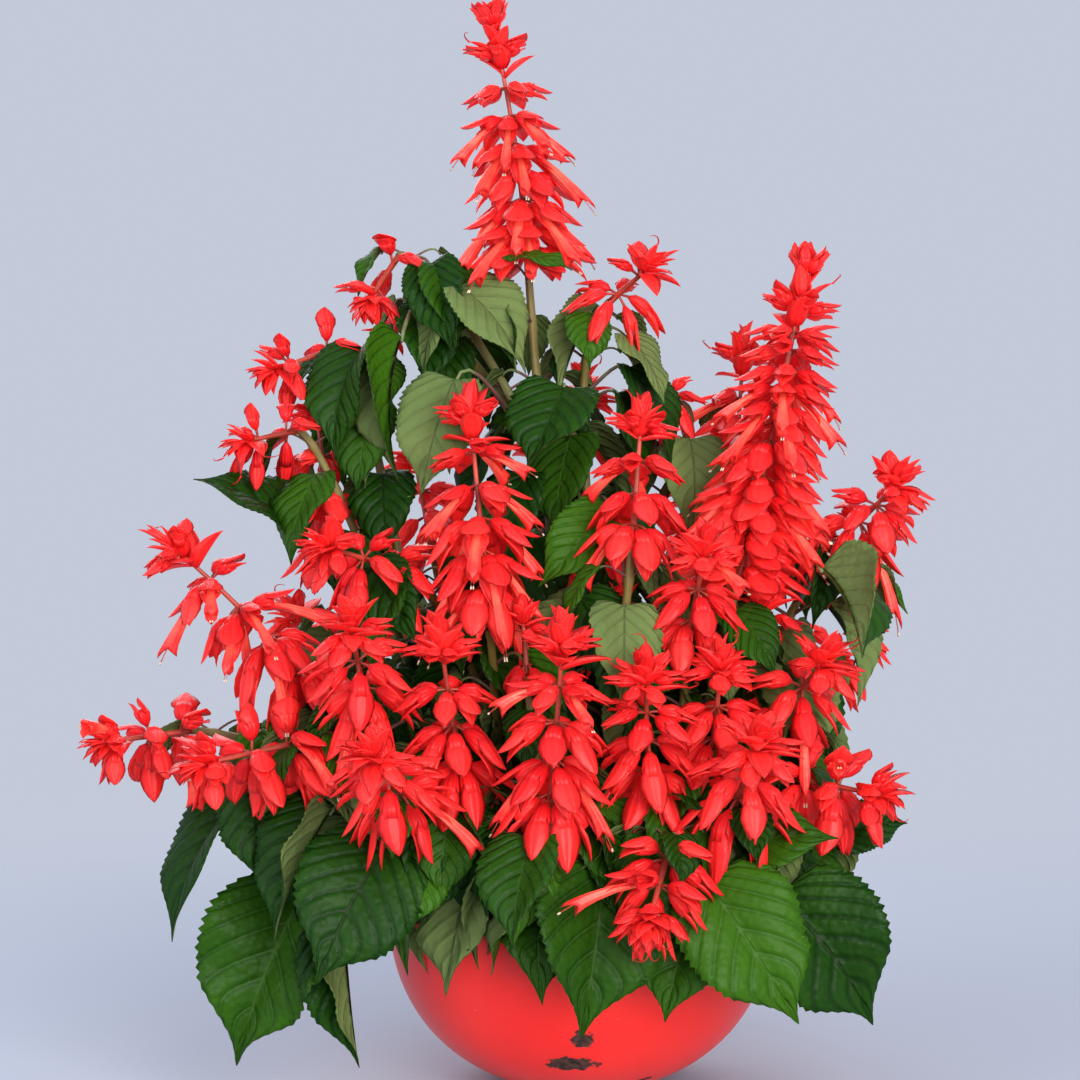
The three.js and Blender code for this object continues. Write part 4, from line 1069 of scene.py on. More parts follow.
def add_spike(pile, spike, settings):
    """One spike: its axis, its whorls of flowers and the bracts at its tip."""
    rings, sides, power = TUBES["axis"]
    steps = np.linspace(0, AXIS_END, rings)
    radii = RACHIS["width"] / 2 * mix(*AXIS_TAPER, steps)
    add_tubes(pile, bezier(spike.axis, steps)[None], radii[None], sides, vec([0.5]), power, RACHIS_PAINT)

    tall, small = build_of(spike)
    flowers, longer, is_out = grown_flowers(spike, settings)
    share = chance(flowers.seed + 0.9)
    gape = settings.gape * mix(GAPES["young"], 1, flowers.age) * share * (GAPES["small"] if small else 1)
    gape = np.where(is_out, mix(GAPES["out"], 1, share), gape)
    slimness = settings.calyx_slimness * between(*CALYX_STRAYS["width"], flowers.seed + 0.37)
    slimness *= (SMALL_HEAD_WIDTH if small else 1) / np.sqrt(longer)
    arch = between(*CALYX_STRAYS["arch"], flowers.seed + 0.27)
    arch = arch * mix(CALYX_STRAYS["young_arch"], 1, flowers.age)
    sag = settings.sag * between(*CALYX_STRAYS["sag"], flowers.seed + 0.17) * np.sqrt(flowers.age)
    sag = sag * (TALL["sag"] if tall else 1)
    add_calyces(pile, flowers, gape, slimness, arch, sag)
    if is_out.any():
        add_corollas(pile, only(flowers, is_out), settings, sag[is_out])

    buds = tip_buds(spike, *TIP["tall" if tall else "other"])
    points = add_bracts(pile, buds, settings)
    add_curls(pile, buds, points)


# ------------------------------------------------------------------ bowl and soil
def bowl_profile(inset, steps):
    """Radii and heights of the bowl: a hemisphere a little square in section, cut flat at its foot."""
    power = 2 / BOWL["squareness"]
    start = np.arcsin((BOWL["foot"] / BOWL["rim"]) ** (1 / power))
    drop = BOWL["height"] * (1 - np.cos(start) ** power)
    angle = np.linspace(start, np.pi / 2, steps)
    radius = BOWL["rim"] * np.sin(angle) ** power - inset
    level = 1 - np.cos(angle).clip(0) ** power
    return radius, BOWL["height"] * level - drop + inset * np.cos(angle)


def turned_profile(radii, heights, sides):
    """A profile turned round the upright axis, as rings of points."""
    flat = radii[:, None, None] * np.stack(circle(sides), -1)
    upright = np.broadcast_to(heights[:, None, None], (len(radii), sides, 1))
    return np.concatenate([flat, upright], -1)


def add_turned(pile, points):
    """Closes a turned profile above and below and adds it to a pile."""
    rings, sides = points.shape[:2]
    pile.add(points.reshape(1, -1, 3), tube_places(rings, sides), vec([0.5]), ring_faces(rings, sides))


def add_bowl(pile, settings):
    """The bowl's outside, its rounded rim and its inside, as one turned shell."""
    outer_radius, outer_height = bowl_profile(0, BOWL_RINGS["outside"])
    inner_radius, inner_height = bowl_profile(BOWL["wall"], BOWL_RINGS["inside"])
    half = BOWL["wall"] / 2
    top = outer_height[-1]
    lip = np.linspace(0, np.pi, BOWL_RINGS["rim"])
    lip_radius = BOWL["rim"] - half + half * np.cos(lip)
    lip_height = top - half + half * np.sin(lip)
    below = outer_height < top - half
    inside = inner_height < top - half
    outer_height[0] = BOWL_FOOT_BEVEL["height"]
    foot = BOWL["foot"] - BOWL_FOOT_BEVEL["width"]
    radii = np.concatenate([[foot], outer_radius[below], lip_radius, inner_radius[inside][::-1]])
    heights = np.concatenate([[0.0], outer_height[below], lip_height, inner_height[inside][::-1]])
    add_turned(pile, turned_profile(radii, heights, settings.sides))


def lumps(x, y):
    """A rough height from -1 to 1: waves of three sizes that cross one another."""
    height = 0.45 * np.sin(0.21 * x + 1.3) * np.cos(0.19 * y - 0.4)
    height += 0.35 * np.sin(0.47 * x - 0.31 * y) * np.cos(0.53 * y + 0.9)
    return height + 0.2 * np.sin(1.1 * x + 0.7 * y) * np.sin(1.3 * y - 0.8 * x + 2)


def add_soil(pile, settings):
    """The soil as one turned shell with a lumpy top, which meets the bowl's wall, and bits of bark. Its
    top falls from crown to edge with the square of the way out."""
    inner_radius, inner_height = bowl_profile(BOWL["wall"] + SOIL["gap"], 60)
    wall_heights = vec([30, 45, 60, SOIL["edge"] - 2])
    wall = np.interp(wall_heights, inner_height, inner_radius)
    share = np.linspace(1, 0.02, SOIL_RINGS)
    top = mix(SOIL["crown"], SOIL["edge"], share**2)
    edge = np.interp(SOIL["edge"], inner_height, inner_radius)
    radii = np.concatenate([wall, edge * share])
    points = turned_profile(radii, np.concatenate([wall_heights, top]), SOIL_SIDES)
    rough = settings.lump / MM * lumps(points[..., 0], points[..., 1])
    on_top = np.concatenate([np.zeros(len(wall)), 1 - share**6])
    points[..., 2] += rough * on_top[:, None]
    add_turned(pile, points)
    add_bark(pile, edge, settings)


def add_bark(pile, edge, settings):
    """Bits of bark as short thick tubes, spread evenly over the soil."""
    number = np.arange(BARK["bits"])
    far = edge * BARK["reach"] * np.sqrt(chance(number + 0.1))
    turn = 2 * np.pi * chance(number + 0.2)
    x, y = far * np.cos(turn), far * np.sin(turn)
    height = mix(SOIL["crown"], SOIL["edge"], (far / edge) ** 2) + settings.lump / MM * lumps(x, y)
    middle = np.stack([x, y, height + BARK["above"]], -1)
    heading = 2 * np.pi * chance(number + 0.3)
    tilt = BARK["tilt"] * (chance(number + 0.4) - 0.5)
    way = np.stack([np.cos(heading), np.sin(heading), tilt], -1)
    half_length = between(*BARK["half_length"], number + 0.5)[:, None]
    taper = vec(BARK["taper"])
    steps = np.linspace(-1, 1, len(taper))
    paths = middle[:, None] + (unit(way) * half_length)[:, None] * steps[:, None]
    radii = between(*BARK["radius"], number + 0.6)[:, None] * taper
    add_tubes(pile, paths, radii, 5, chance(number), paint=BARK_PAINT)


# ------------------------------------------------------------------ materials
class Recipe:
    """The nodes of a material or of a group, added one at a time."""

    def __init__(self, tree):
        self.tree = tree
        self.tree.nodes.clear()

    def add(self, kind, inputs=None, **settings):
        """A shader node with its settings made, and each input set or joined."""
        node = self.tree.nodes.new(kind)
        for name, value in settings.items():
            setattr(node, name, value)
        for socket, value in (inputs or {}).items():
            if isinstance(value, bpy.types.NodeSocket):
                self.tree.links.new(value, node.inputs[socket])
            else:
                node.inputs[socket].default_value = value
        return node

    def number(self, operation, first, second=0.0):
        """The outcome of a sum on one number or two."""
        inputs = {0: first, 1: second}
        return self.add("ShaderNodeMath", inputs, operation=operation).outputs[0]

    def times(self, first, second):
        """The product of two numbers."""
        return self.number("MULTIPLY", first, second)

    def plus(self, first, second):
        """The sum of two numbers."""
        return self.number("ADD", first, second)

    def less(self, first, second):
        """The first number less the second."""
        return self.number("SUBTRACT", first, second)

    def fade(self, value, start, end, low=0.0, high=1.0):
        """A smooth step from low to high as the value goes from start to end."""
        inputs = {"Value": value, "From Min": start, "From Max": end, "To Min": low, "To Max": high}
        return self.add("ShaderNodeMapRange", inputs, interpolation_type="SMOOTHSTEP").outputs[0]

    def blend(self, share, first, second):
        """The colour a share of the way from the first to the second."""
        inputs = {0: share, 6: colour(first), 7: colour(second)}
        return self.add("ShaderNodeMix", inputs, data_type="RGBA").outputs[2]

    def noise(self, scale, detail=3.0, vector=None):
        """Cloudy noise over the object, or over the given place."""
        if vector is None:
            vector = self.add("ShaderNodeTexCoord").outputs["Object"]
        inputs = {"Vector": vector, "Scale": scale, "Detail": detail, "Roughness": 0.55}
        return self.add("ShaderNodeTexNoise", inputs).outputs["Fac"]

    def vector(self, x, y, z):
        """Three numbers as a vector."""
        return self.add("ShaderNodeCombineXYZ", {0: x, 1: y, 2: z}).outputs[0]

    def attribute(self, name):
        """An attribute of the mesh."""
        return self.add("ShaderNodeAttribute", attribute_name=name)

    def place(self):
        """The three numbers of a point's place on its own surface."""
        split = self.add("ShaderNodeSeparateXYZ", {0: self.attribute("place").outputs["Vector"]})
        return split.outputs

    def bump(self, height, distance):
        """A normal raised by a height, which at 1 is the distance."""
        return self.add("ShaderNodeBump", {"Height": height, "Distance": distance}).outputs[0]

    def group(self, group, inputs):
        """What a shader group gives for its inputs."""
        return self.add("ShaderNodeGroup", inputs, node_tree=group).outputs


def new_material(name):
    """An empty material and its recipe."""
    material = bpy.data.materials.new(name)
    material.use_nodes = True
    return material, Recipe(material.node_tree)


def new_group(name, inputs, outputs):
    """An empty shader group, its recipe and what it is given. Inputs are named with their kinds."""
    group = bpy.data.node_groups.new(name, "ShaderNodeTree")
    for socket, kind in inputs.items():
        group.interface.new_socket(socket, in_out="INPUT", socket_type="NodeSocket" + kind)
    for socket in outputs:
        group.interface.new_socket(socket, in_out="OUTPUT", socket_type="NodeSocketFloat")
    recipe = Recipe(group)
    return group, recipe, recipe.add("NodeGroupInput").outputs


def finish_material(recipe, inputs):
    """The surface itself, joined to the material's output."""
    surface = recipe.add("ShaderNodeBsdfPrincipled", inputs)
    recipe.add("ShaderNodeOutputMaterial", {"Surface": surface.outputs[0]})


def colour(tint):
    """A plain colour as a shader socket takes it. One that a node gives stays as it is."""
    return tint if isinstance(tint, bpy.types.NodeSocket) else (*tint, 1.0)


def leaf_relief_group():
    """Group: the veins of a blade, from the place along it and across it. Side veins are lines of equal
    phase, which slant to the tip, and the blade rises between them."""
    group, recipe, given = new_group("leaf relief", {"Along": "Float", "Across": "Float"}, ("Vein", "Height"))
    edge = recipe.number("ABSOLUTE", given["Across"])
    slant, straight, bent = (SIDE_VEINS[key] for key in ("slant", "straight", "bent"))
    slant = recipe.times(edge, recipe.plus(recipe.times(edge, bent * slant), straight * slant))
    slant = recipe.times(slant, recipe.less(1.0, recipe.times(given["Along"], SIDE_VEINS["less_at_tip"])))
    phase = recipe.times(recipe.less(given["Along"], slant), SIDE_VEINS["count"])
    off_centre = recipe.number("ABSOLUTE", recipe.less(recipe.number("FRACT", phase), 0.5))
    from_vein = recipe.less(0.5, off_centre)
    side_vein = recipe.fade(from_vein, 0.0, 0.07, 1.0, 0.0)
    side_vein = recipe.times(side_vein, recipe.fade(edge, 0.2, 1.05, 1.0, 0.25))
    midrib = recipe.fade(edge, 0.0, 0.055, 1.0, 0.0)
    vein = recipe.number("MAXIMUM", side_vein, midrib)
    dome = recipe.fade(from_vein, 0.0, 0.3)
    height = recipe.times(dome, recipe.less(1.0, recipe.times(vein, 0.8)))
    recipe.add("NodeGroupOutput", {"Vein": vein, "Height": height})
    return group


def leaf_material(settings):
    """Leaf: dark and softly glossy above with sunken veins, pale and dull beneath with raised ones. Above,
    painted shade darkens most of the veins and the valleys beside them, and a painted highlight lightens the
    domes between the side veins.
    """
    material, recipe = new_material("leaf")
    along, across, side = recipe.place()
    tone = recipe.attribute("tone").outputs["Fac"]
    relief = recipe.group(leaf_relief_group(), {"Along": along, "Across": across})
    vein, height = relief["Vein"], relief["Height"]
    cloud = recipe.noise(38.0)
    here = recipe.add("ShaderNodeTexCoord").outputs["Object"]
    cells = recipe.add("ShaderNodeTexVoronoi", {"Vector": here, "Scale": 300.0, "Smoothness": 0.5},
                       feature="SMOOTH_F1")
    pucker = recipe.fade(cells.outputs["Distance"], 0.1, 0.8, 1.0, 0.0)
    bright = recipe.plus(recipe.fade(tone, 0.35, 1.1), recipe.fade(cloud, 0.45, 0.75, 0.0, 0.3))
    # painted light and shade: the domes between the side veins are painted lighter and the valleys beside the
    # veins darker, as light and shade would fall on them
    bright = recipe.plus(bright, recipe.fade(height, 0.1, 0.8, -0.18, 0.1))
    upper = recipe.blend(bright, settings.dark, settings.bright)
    # painted shade: on most leaves the veins above are painted dark as shade in their grooves; the
    # paler-toned leaves keep their veins' own paler green
    vein_tint_and_groove_shade = recipe.blend(recipe.fade(tone, 0.4, 0.7), settings.vein_groove_shade, settings.vein)
    upper = recipe.blend(recipe.times(vein, 0.7), upper, vein_tint_and_groove_shade)
    shade = recipe.plus(recipe.fade(cloud, 0.3, 0.7, 0.0, 0.4), recipe.times(tone, 0.7))
    lower = recipe.blend(shade, settings.pale, settings.pale_deep)
    lower = recipe.blend(recipe.times(vein, 0.6), lower, settings.pale_vein)
    tint = recipe.blend(side, lower, upper)
    height = recipe.plus(height, recipe.times(pucker, 0.5))
    sunk = recipe.times(height, recipe.fade(side, 0.0, 1.0, -0.8, 1.0))
    look = {
        "Base Color": tint,
        "Roughness": recipe.fade(side, 0.0, 1.0, 0.75, settings.roughness),
        "Specular IOR Level": 0.1,
        "Subsurface Weight": 0.12,
        "Subsurface Radius": (0.4, 1.0, 0.15),
        "Subsurface Scale": 0.0015,
        "Normal": recipe.bump(sunk, settings.relief),
    }
    finish_material(recipe, look)
    return material


def stalk_material(settings):
    """Leaf stalk: green at its blade and purple brown toward its stem."""
    material, recipe = new_material("leaf stalk")
    along = recipe.place()[0]
    cloud = recipe.noise(60.0)
    share = recipe.plus(along, recipe.fade(cloud, 0.3, 0.7, -0.35, 0.35))
    tint = recipe.blend(recipe.fade(share, 0.2, 1.0), settings.stalk, settings.stalk_green)
    finish_material(recipe, {"Base Color": tint, "Roughness": 0.55, "Subsurface Weight": 0.1,
                             "Subsurface Scale": 0.001})
    return material


def stem_material(settings):
    """Stem: olive at its foot, amber and red brown toward its flowers, with fine streaks along it."""
    material, recipe = new_material("stem")
    along, cosine, sine = recipe.place()
    stretched = recipe.vector(recipe.times(along, 9.0), recipe.times(cosine, 5.0), recipe.times(sine, 5.0))
    streaks = recipe.noise(1.0, vector=stretched)
    tone = recipe.attribute("tone").outputs["Fac"]
    share = recipe.plus(recipe.times(along, 0.7), recipe.times(tone, 0.5))
    share = recipe.plus(share, recipe.fade(streaks, 0.3, 0.7, -0.2, 0.2))
    low = recipe.blend(recipe.fade(share, 0.1, 0.75), settings.olive, settings.amber)
    tint = recipe.blend(recipe.fade(share, 0.8, 1.25), low, settings.brown)
    finish_material(recipe, {"Base Color": tint, "Roughness": 0.48, "Subsurface Weight": 0.08,
                             "Subsurface Scale": 0.001, "Normal": recipe.bump(streaks, 0.0004)})
    return material


def ribs(recipe, sine, cosine, along, count):
    """Fine ribs that run along a bell and fade toward its stalk: a sine of the angle round it."""
    angle = recipe.number("ARCTAN2", sine, cosine)
    wave = recipe.number("SINE", recipe.times(angle, count))
    return recipe.times(wave, recipe.fade(along, 0.0, 0.3))


def finish_petal(recipe, settings, tint, roughness, normal, look):
    """A petal's surface: light passes within it, and a faint painted glow in its own colour lifts its shaded
    parts in place of light reaching its face from behind.
    """
    # painted glow: the petal gives off faint light in its own colour, though it is no lamp
    lit = {"Emission Color": tint, "Emission Strength": settings.painted_glow_strength}
    within = {"Subsurface Weight": settings.glow, "Subsurface Scale": 0.004, **look}
    finish_material(recipe, {"Base Color": tint, "Roughness": roughness, "Normal": normal, **within, **lit})


def petal_material(settings):
    """Calyx and bract: satin scarlet, deeper at the stalk and between the ribs."""
    material, recipe = new_material("scarlet calyx")
    along, cosine, sine = recipe.place()
    rib = ribs(recipe, sine, cosine, along, settings.ribs)
    tone = recipe.attribute("tone").outputs["Fac"]
    cloud = recipe.noise(90.0)
    share = recipe.plus(recipe.times(tone, 0.55), recipe.fade(cloud, 0.3, 0.7, 0.0, 0.3))
    share = recipe.plus(share, recipe.fade(along, 0.0, 0.7, -0.35, 0.15))
    share = recipe.plus(share, recipe.times(rib, 0.1))
    tint = recipe.blend(share, settings.deep, settings.scarlet)
    height = recipe.plus(rib, recipe.times(recipe.noise(220.0), 1.2))
    look = {"Specular IOR Level": 0.25, "Subsurface Radius": (1.0, 0.12, 0.08)}
    finish_petal(recipe, settings, tint, settings.roughness, recipe.bump(height, 0.00014), look)
    return material


def corolla_material(settings):
    """Corolla: salmon orange along its tube and scarlet at its lips."""
    material, recipe = new_material("corolla")
    along, cosine, sine = recipe.place()
    cloud = recipe.noise(120.0)
    share = recipe.plus(recipe.fade(along, 0.35, 1.0), recipe.fade(cloud, 0.3, 0.7, -0.25, 0.25))
    tint = recipe.blend(share, settings.salmon, settings.lips)
    rib = ribs(recipe, sine, cosine, along, 6)
    look = {"Specular IOR Level": 0.3, "Subsurface Radius": (1.0, 0.2, 0.12)}
    finish_petal(recipe, settings, tint, 0.42, recipe.bump(rib, 0.00015), look)
    return material


def plain_material(name, tint, roughness, scale=80.0, relief=0.0005):
    """A plain rough surface whose colour clouds toward a darker one."""
    material, recipe = new_material(name)
    cloud = recipe.noise(scale, detail=6.0)
    shade = [0.55 * part for part in tint]
    tint = recipe.blend(recipe.fade(cloud, 0.35, 0.65), shade, tint)
    normal = recipe.bump(cloud, relief)
    finish_material(recipe, {"Base Color": tint, "Roughness": roughness, "Normal": normal})
    return material


def chip_and_shade_patch_group():
    """Group: a ragged patch in the paint, used for each chip and for the patch of painted shade. Gives 1
    inside a radius round a centre, with an uneven edge.
    """
    inputs = {"Centre": "Vector", "Radius": "Float", "Stretch": "Float"}
    group, recipe, given = new_group("paint chip", inputs, ["Chip"])
    here = recipe.add("ShaderNodeTexCoord").outputs["Object"]
    away = recipe.add("ShaderNodeVectorMath", {0: here, 1: given["Centre"]}, operation="SUBTRACT")
    split = recipe.add("ShaderNodeSeparateXYZ", {0: away.outputs[0]}).outputs
    sideways = recipe.number("DIVIDE", split[0], given["Stretch"])
    squared = [recipe.times(part, part) for part in (sideways, split[1], split[2])]
    total = recipe.plus(recipe.plus(squared[0], squared[1]), squared[2])
    distance = recipe.number("SQRT", total)
    ragged = recipe.fade(recipe.noise(190.0, detail=5.0), 0.3, 0.7, -0.0013, 0.0013)
    distance = recipe.plus(distance, ragged)
    edges = {"From Min": recipe.less(given["Radius"], 0.0006), "From Max": given["Radius"]}
    chip = recipe.add("ShaderNodeMapRange", {"Value": distance, **edges, "To Min": 1.0, "To Max": 0.0})
    recipe.add("NodeGroupOutput", {"Chip": chip.outputs[0]})
    return group


def bowl_material(settings):
    """Paint: bright red satin, with dark chips worn through it, a dark patch of painted shade low on the
    right by the foot, and pale specks and scuffs.
    """
    material, recipe = new_material("painted metal")
    worn_and_shaded = 0.0
    patch_shape = chip_and_shade_patch_group()
    radii, heights = bowl_profile(0, 80)
    for x, z, radius, stretch in CHIPS_AND_SHADE_PATCH:
        y = -np.sqrt(max(np.interp(z, heights, radii) ** 2 - x**2, 0))
        inputs = {"Centre": vec([x, y, z]) * MM, "Radius": radius * MM, "Stretch": stretch}
        worn_and_shaded = recipe.number("MAXIMUM", worn_and_shaded, recipe.group(patch_shape, inputs)["Chip"])
    specks = recipe.fade(recipe.noise(700.0, detail=2.0), 0.73, 0.76)
    specks = recipe.times(specks, recipe.fade(recipe.noise(30.0), 0.5, 0.62))
    cloud = recipe.noise(14.0)
    paint = recipe.blend(recipe.fade(cloud, 0.3, 0.7), settings.paint_deep, settings.paint)
    paint = recipe.blend(recipe.times(specks, 0.6), paint, settings.speck)
    rust = recipe.fade(recipe.noise(400.0), 0.4, 0.6)
    rust = recipe.blend(rust, settings.chip, settings.chip_edge)
    # the chips and the patch of painted shade take the dark colour under the paint
    tint = recipe.blend(worn_and_shaded, paint, rust)
    rough = recipe.fade(cloud, 0.3, 0.7, settings.roughness, settings.roughness + 0.08)
    rough = recipe.plus(rough, recipe.times(worn_and_shaded, 0.35))
    look = {
        "Base Color": tint,
        "Roughness": rough,
        "Coat Weight": recipe.fade(worn_and_shaded, 0.0, 1.0, 0.2, 0.0),
        "Specular IOR Level": 0.3,
        "Coat Roughness": 0.22,
        "Normal": recipe.bump(recipe.less(recipe.times(cloud, 0.6), worn_and_shaded), 0.0004),
    }
    finish_material(recipe, look)
    return material


# ------------------------------------------------------------------ stage
def pale_floor(settings):
    """A round floor that clears away into the pale surroundings as it gets farther from the bowl."""
    edge = settings.floor_radius * np.stack([*circle(FLOOR["sides"]), np.zeros(FLOOR["sides"])], -1)
    mesh = bpy.data.meshes.new("floor")
    mesh.from_pydata(edge.tolist(), [], [list(range(FLOOR["sides"]))])
    material, recipe = new_material("pale floor")
    here = recipe.add("ShaderNodeTexCoord").outputs["Object"]
    away = recipe.add("ShaderNodeVectorMath", {0: here}, operation="LENGTH").outputs["Value"]
    radius = settings.floor_radius
    clear = recipe.fade(away, FLOOR["clear_from"] * radius, radius, 1.0, 0.0)
    finish_material(recipe, {"Base Color": colour(settings.floor), "Roughness": 0.9, "Alpha": clear})
    mesh.materials.append(material)
    floor = bpy.data.objects.new("floor", mesh)
    bpy.context.scene.collection.objects.link(floor)
    return floor


def add_turned_object(name, data, place, aim):
    """An object that stands at a place and faces a point."""
    thing = bpy.data.objects.new(name, data)
    thing.location = place
    thing.rotation_euler = (Vector(aim) - Vector(place)).to_track_quat("-Z", "Y").to_euler()
    bpy.context.scene.collection.objects.link(thing)
    return thing


def soft_light(name, power):
    """A large soft lamp that faces the planting and isn't seen itself."""
    place, size, tint = LAMPS[name]
    lamp = bpy.data.lights.new(name, "AREA")
    lamp.shape = "DISK"
    lamp.size = size
    lamp.energy = power
    lamp.color = tint
    add_turned_object(name, lamp, place, LAMP_AIM).visible_camera = False


def make_camera(settings):
    """The camera, level with the middle of the planting."""
    lens = bpy.data.cameras.new("camera")
    lens.lens = settings.focal_length
    lens.sensor_width = CAMERA["sensor"]
    place, aim = vec(CAMERA["from"]) * MM, vec(CAMERA["to"]) * MM
    bpy.context.scene.camera = add_turned_object("camera", lens, place, aim)


def make_world(settings):
    """Even pale surroundings, which also light the planting."""
    world = bpy.data.worlds.new("sky")
    world.use_nodes = True
    sky = world.node_tree.nodes["Background"]
    sky.inputs["Color"].default_value = colour(settings.sky)
    sky.inputs["Strength"].default_value = settings.sky_power
    bpy.context.scene.world = world


# ------------------------------------------------------------------ settings
def colour_setting(name, description, default):
    """A colour setting."""
    return FloatVectorProperty(name=name, description=description, default=default, size=3, min=0, max=1,
                               subtype="COLOR")


def length_setting(name, description, default):
    """A length setting, in metres."""
    return FloatProperty(name=name, description=description, default=default, min=0, unit="LENGTH",
                         precision=5)


def share_setting(name, description, default, high=1.0):
    """A setting that is a share."""
    return FloatProperty(name=name, description=description, default=default, min=0, max=high,
                         subtype="FACTOR")


def angle_setting(name, description, degrees):
    """A setting that is an angle."""
    return FloatProperty(name=name, description=description, default=np.radians(degrees), min=0,
                         subtype="ANGLE")


def count_setting(name, description, default, low=0):
    """A setting that is a whole number."""
    return IntProperty(name=name, description=description, default=default, min=low, subtype="UNSIGNED")


def power_setting(name, description, default):
    """A lamp's power, in watts."""
    return FloatProperty(name=name, description=description, default=default, min=0, unit="POWER")


class BowlSettings(PropertyGroup):
    """How the bowl looks."""

    sides: count_setting("Sides", "Sides of the turned bowl", 160, low=24)
    paint: colour_setting("Paint", "Colour of the paint", (0.90, 0.024, 0.018))
    paint_deep: colour_setting("Deep paint", "Colour of the paint where it is deeper", (0.80, 0.017, 0.013))
    speck: colour_setting("Specks", "Colour of the pale specks", (0.85, 0.45, 0.4))
    # also the colour of the patch of painted shade low on the right
    chip: colour_setting("Chip", "Colour under the chips", (0.02, 0.012, 0.01))
    chip_edge: colour_setting("Chip edge", "Colour of the rust in the chips", (0.08, 0.035, 0.025))
    roughness: share_setting("Roughness", "How dull the paint is", 0.36)


class SoilSettings(PropertyGroup):
    """How the soil looks."""

    earth: colour_setting("Earth", "Colour of the soil", (0.045, 0.028, 0.018))
    bark: colour_setting("Bark", "Colour of the bits of bark", (0.11, 0.06, 0.035))
    lump: length_setting("Lumps", "Height of the lumps", 0.0015)


class StemSettings(PropertyGroup):
    """How the stems look."""

    olive: colour_setting("Olive", "Colour of a stem's foot", (0.085, 0.115, 0.024))
    amber: colour_setting("Amber", "Colour of a stem's middle", (0.17, 0.135, 0.026))
    brown: colour_setting("Brown", "Colour of a stem's end", (0.10, 0.03, 0.016))
    node_swell: share_setting("Swelling", "How much a stem swells where it bears leaves", 0.28)


class LeafSettings(PropertyGroup):
    """How the leaves are shaped and coloured."""

    thickness: length_setting("Thickness", "Thickness of a blade", 0.00045)
    swell: length_setting("Swelling", "How far a blade rises between its side veins", 0.0006)
    tooth: share_setting("Teeth", "Depth of the teeth, over the half width", 0.03)
    wave: share_setting("Wave", "Height of the waves of the edge, over the length", 0.045)
    fold: angle_setting("Fold", "Most that a half blade rises from its midrib", 40)
    twist: angle_setting("Twist", "Most that a blade twists", 38)
    roughness: share_setting("Roughness", "How dull the upper side is", 0.46)
    relief: length_setting("Relief", "Depth of the fine veins", 0.00055)
    dark: colour_setting("Dark green", "Colour of the upper side", (0.0045, 0.028, 0.0015))
    bright: colour_setting("Bright green", "Colour of the brighter upper sides", (0.028, 0.092, 0.003))
    vein: colour_setting("Veins", "Colour of the paler veins above", (0.042, 0.105, 0.012))
    # painted shade in the grooves of the veins above
    vein_groove_shade: colour_setting("Sunken veins", "Colour of the darker veins above", (0.009, 0.018, 0.003))
    pale: colour_setting("Underside", "Colour of the underside", (0.13, 0.18, 0.055))
    pale_deep: colour_setting("Deep underside", "Colour of a deeper underside", (0.075, 0.112, 0.032))
    pale_vein: colour_setting("Underside veins", "Colour of the veins beneath", (0.05, 0.038, 0.018))
    stalk: colour_setting("Stalk", "Colour of a leaf stalk by its stem", (0.12, 0.045, 0.04))
    stalk_green: colour_setting("Stalk end", "Colour of a leaf stalk by its blade", (0.12, 0.17, 0.05))


class FlowerSettings(PropertyGroup):
    """How the flowers are shaped and coloured."""

    calyx_slimness: share_setting("Calyx width", "Width of a calyx over the plain bell's", 0.88, 1.5)
    bract_width: share_setting("Bract width", "Width of a bract over the plain bell's", 1.0, 1.5)
    gape: share_setting("Gape", "How far the older closed calyces stand open", 0.6)
    sag: share_setting("Sag", "How far a flower sinks over its length", 0.28)
    corolla_width: length_setting("Corolla width", "Width of a corolla's mouth", 0.0062)
    ribs: count_setting("Ribs", "Fine ribs round a calyx", 11)
    scarlet: colour_setting("Scarlet", "Colour of the calyces", (0.90, 0.028, 0.024))
    deep: colour_setting("Deep scarlet", "Colour of the calyces at their stalks", (0.60, 0.007, 0.010))
    salmon: colour_setting("Salmon", "Colour of a corolla's tube", (0.94, 0.11, 0.07))
    lips: colour_setting("Lips", "Colour of a corolla's lips", (0.9, 0.028, 0.024))
    rachis: colour_setting("Axis", "Colour of a spike's axis", (0.42, 0.04, 0.02))
    anther: colour_setting("Anthers", "Colour of the anthers", (0.75, 0.6, 0.42))
    roughness: share_setting("Roughness", "How dull the calyces are", 0.46)
    glow: share_setting("Glow", "How much light passes within a petal", 0.2)
    # painted glow: how strongly the petals shine by themselves, standing in for light through them
    painted_glow_strength: share_setting("Inner light", "Light that reaches a petal's face through the petal", 0.14)
    thinning: share_setting("Thinning", "Share of the flowers that the smallest heads have lost", 0.3)
    tall_reach: share_setting("Reach", "How much longer the oldest flowers of the tall spikes are", 0.2)
    tall_spread: share_setting("Spread", "How far the flowers of the tall spikes lean outward", 0.4)


class StageSettings(PropertyGroup):
    """The floor, the camera and the light."""

    floor_radius: length_setting("Floor radius", "Radius of the floor", 1.1)
    floor: colour_setting("Floor", "Colour of the floor", (0.40, 0.43, 0.51))
    sky: colour_setting("Surroundings", "Colour of the light from all round", (0.79, 0.85, 1.0))
    sky_power: FloatProperty(name="Sky power", description="Strength of the light from all round",
                             default=0.69, min=0, unit="NONE")
    key_power: power_setting("Key power", "Power of the main lamp", 70.0)
    fill_power: power_setting("Fill power", "Power of the side lamp", 22.0)
    back_power: power_setting("Back power", "Power of the back lamp", 26.0)
    focal_length: FloatProperty(name="Focal length", description="Focal length of the camera, in millimetres",
                                default=92.65, min=10, subtype="DISTANCE_CAMERA")


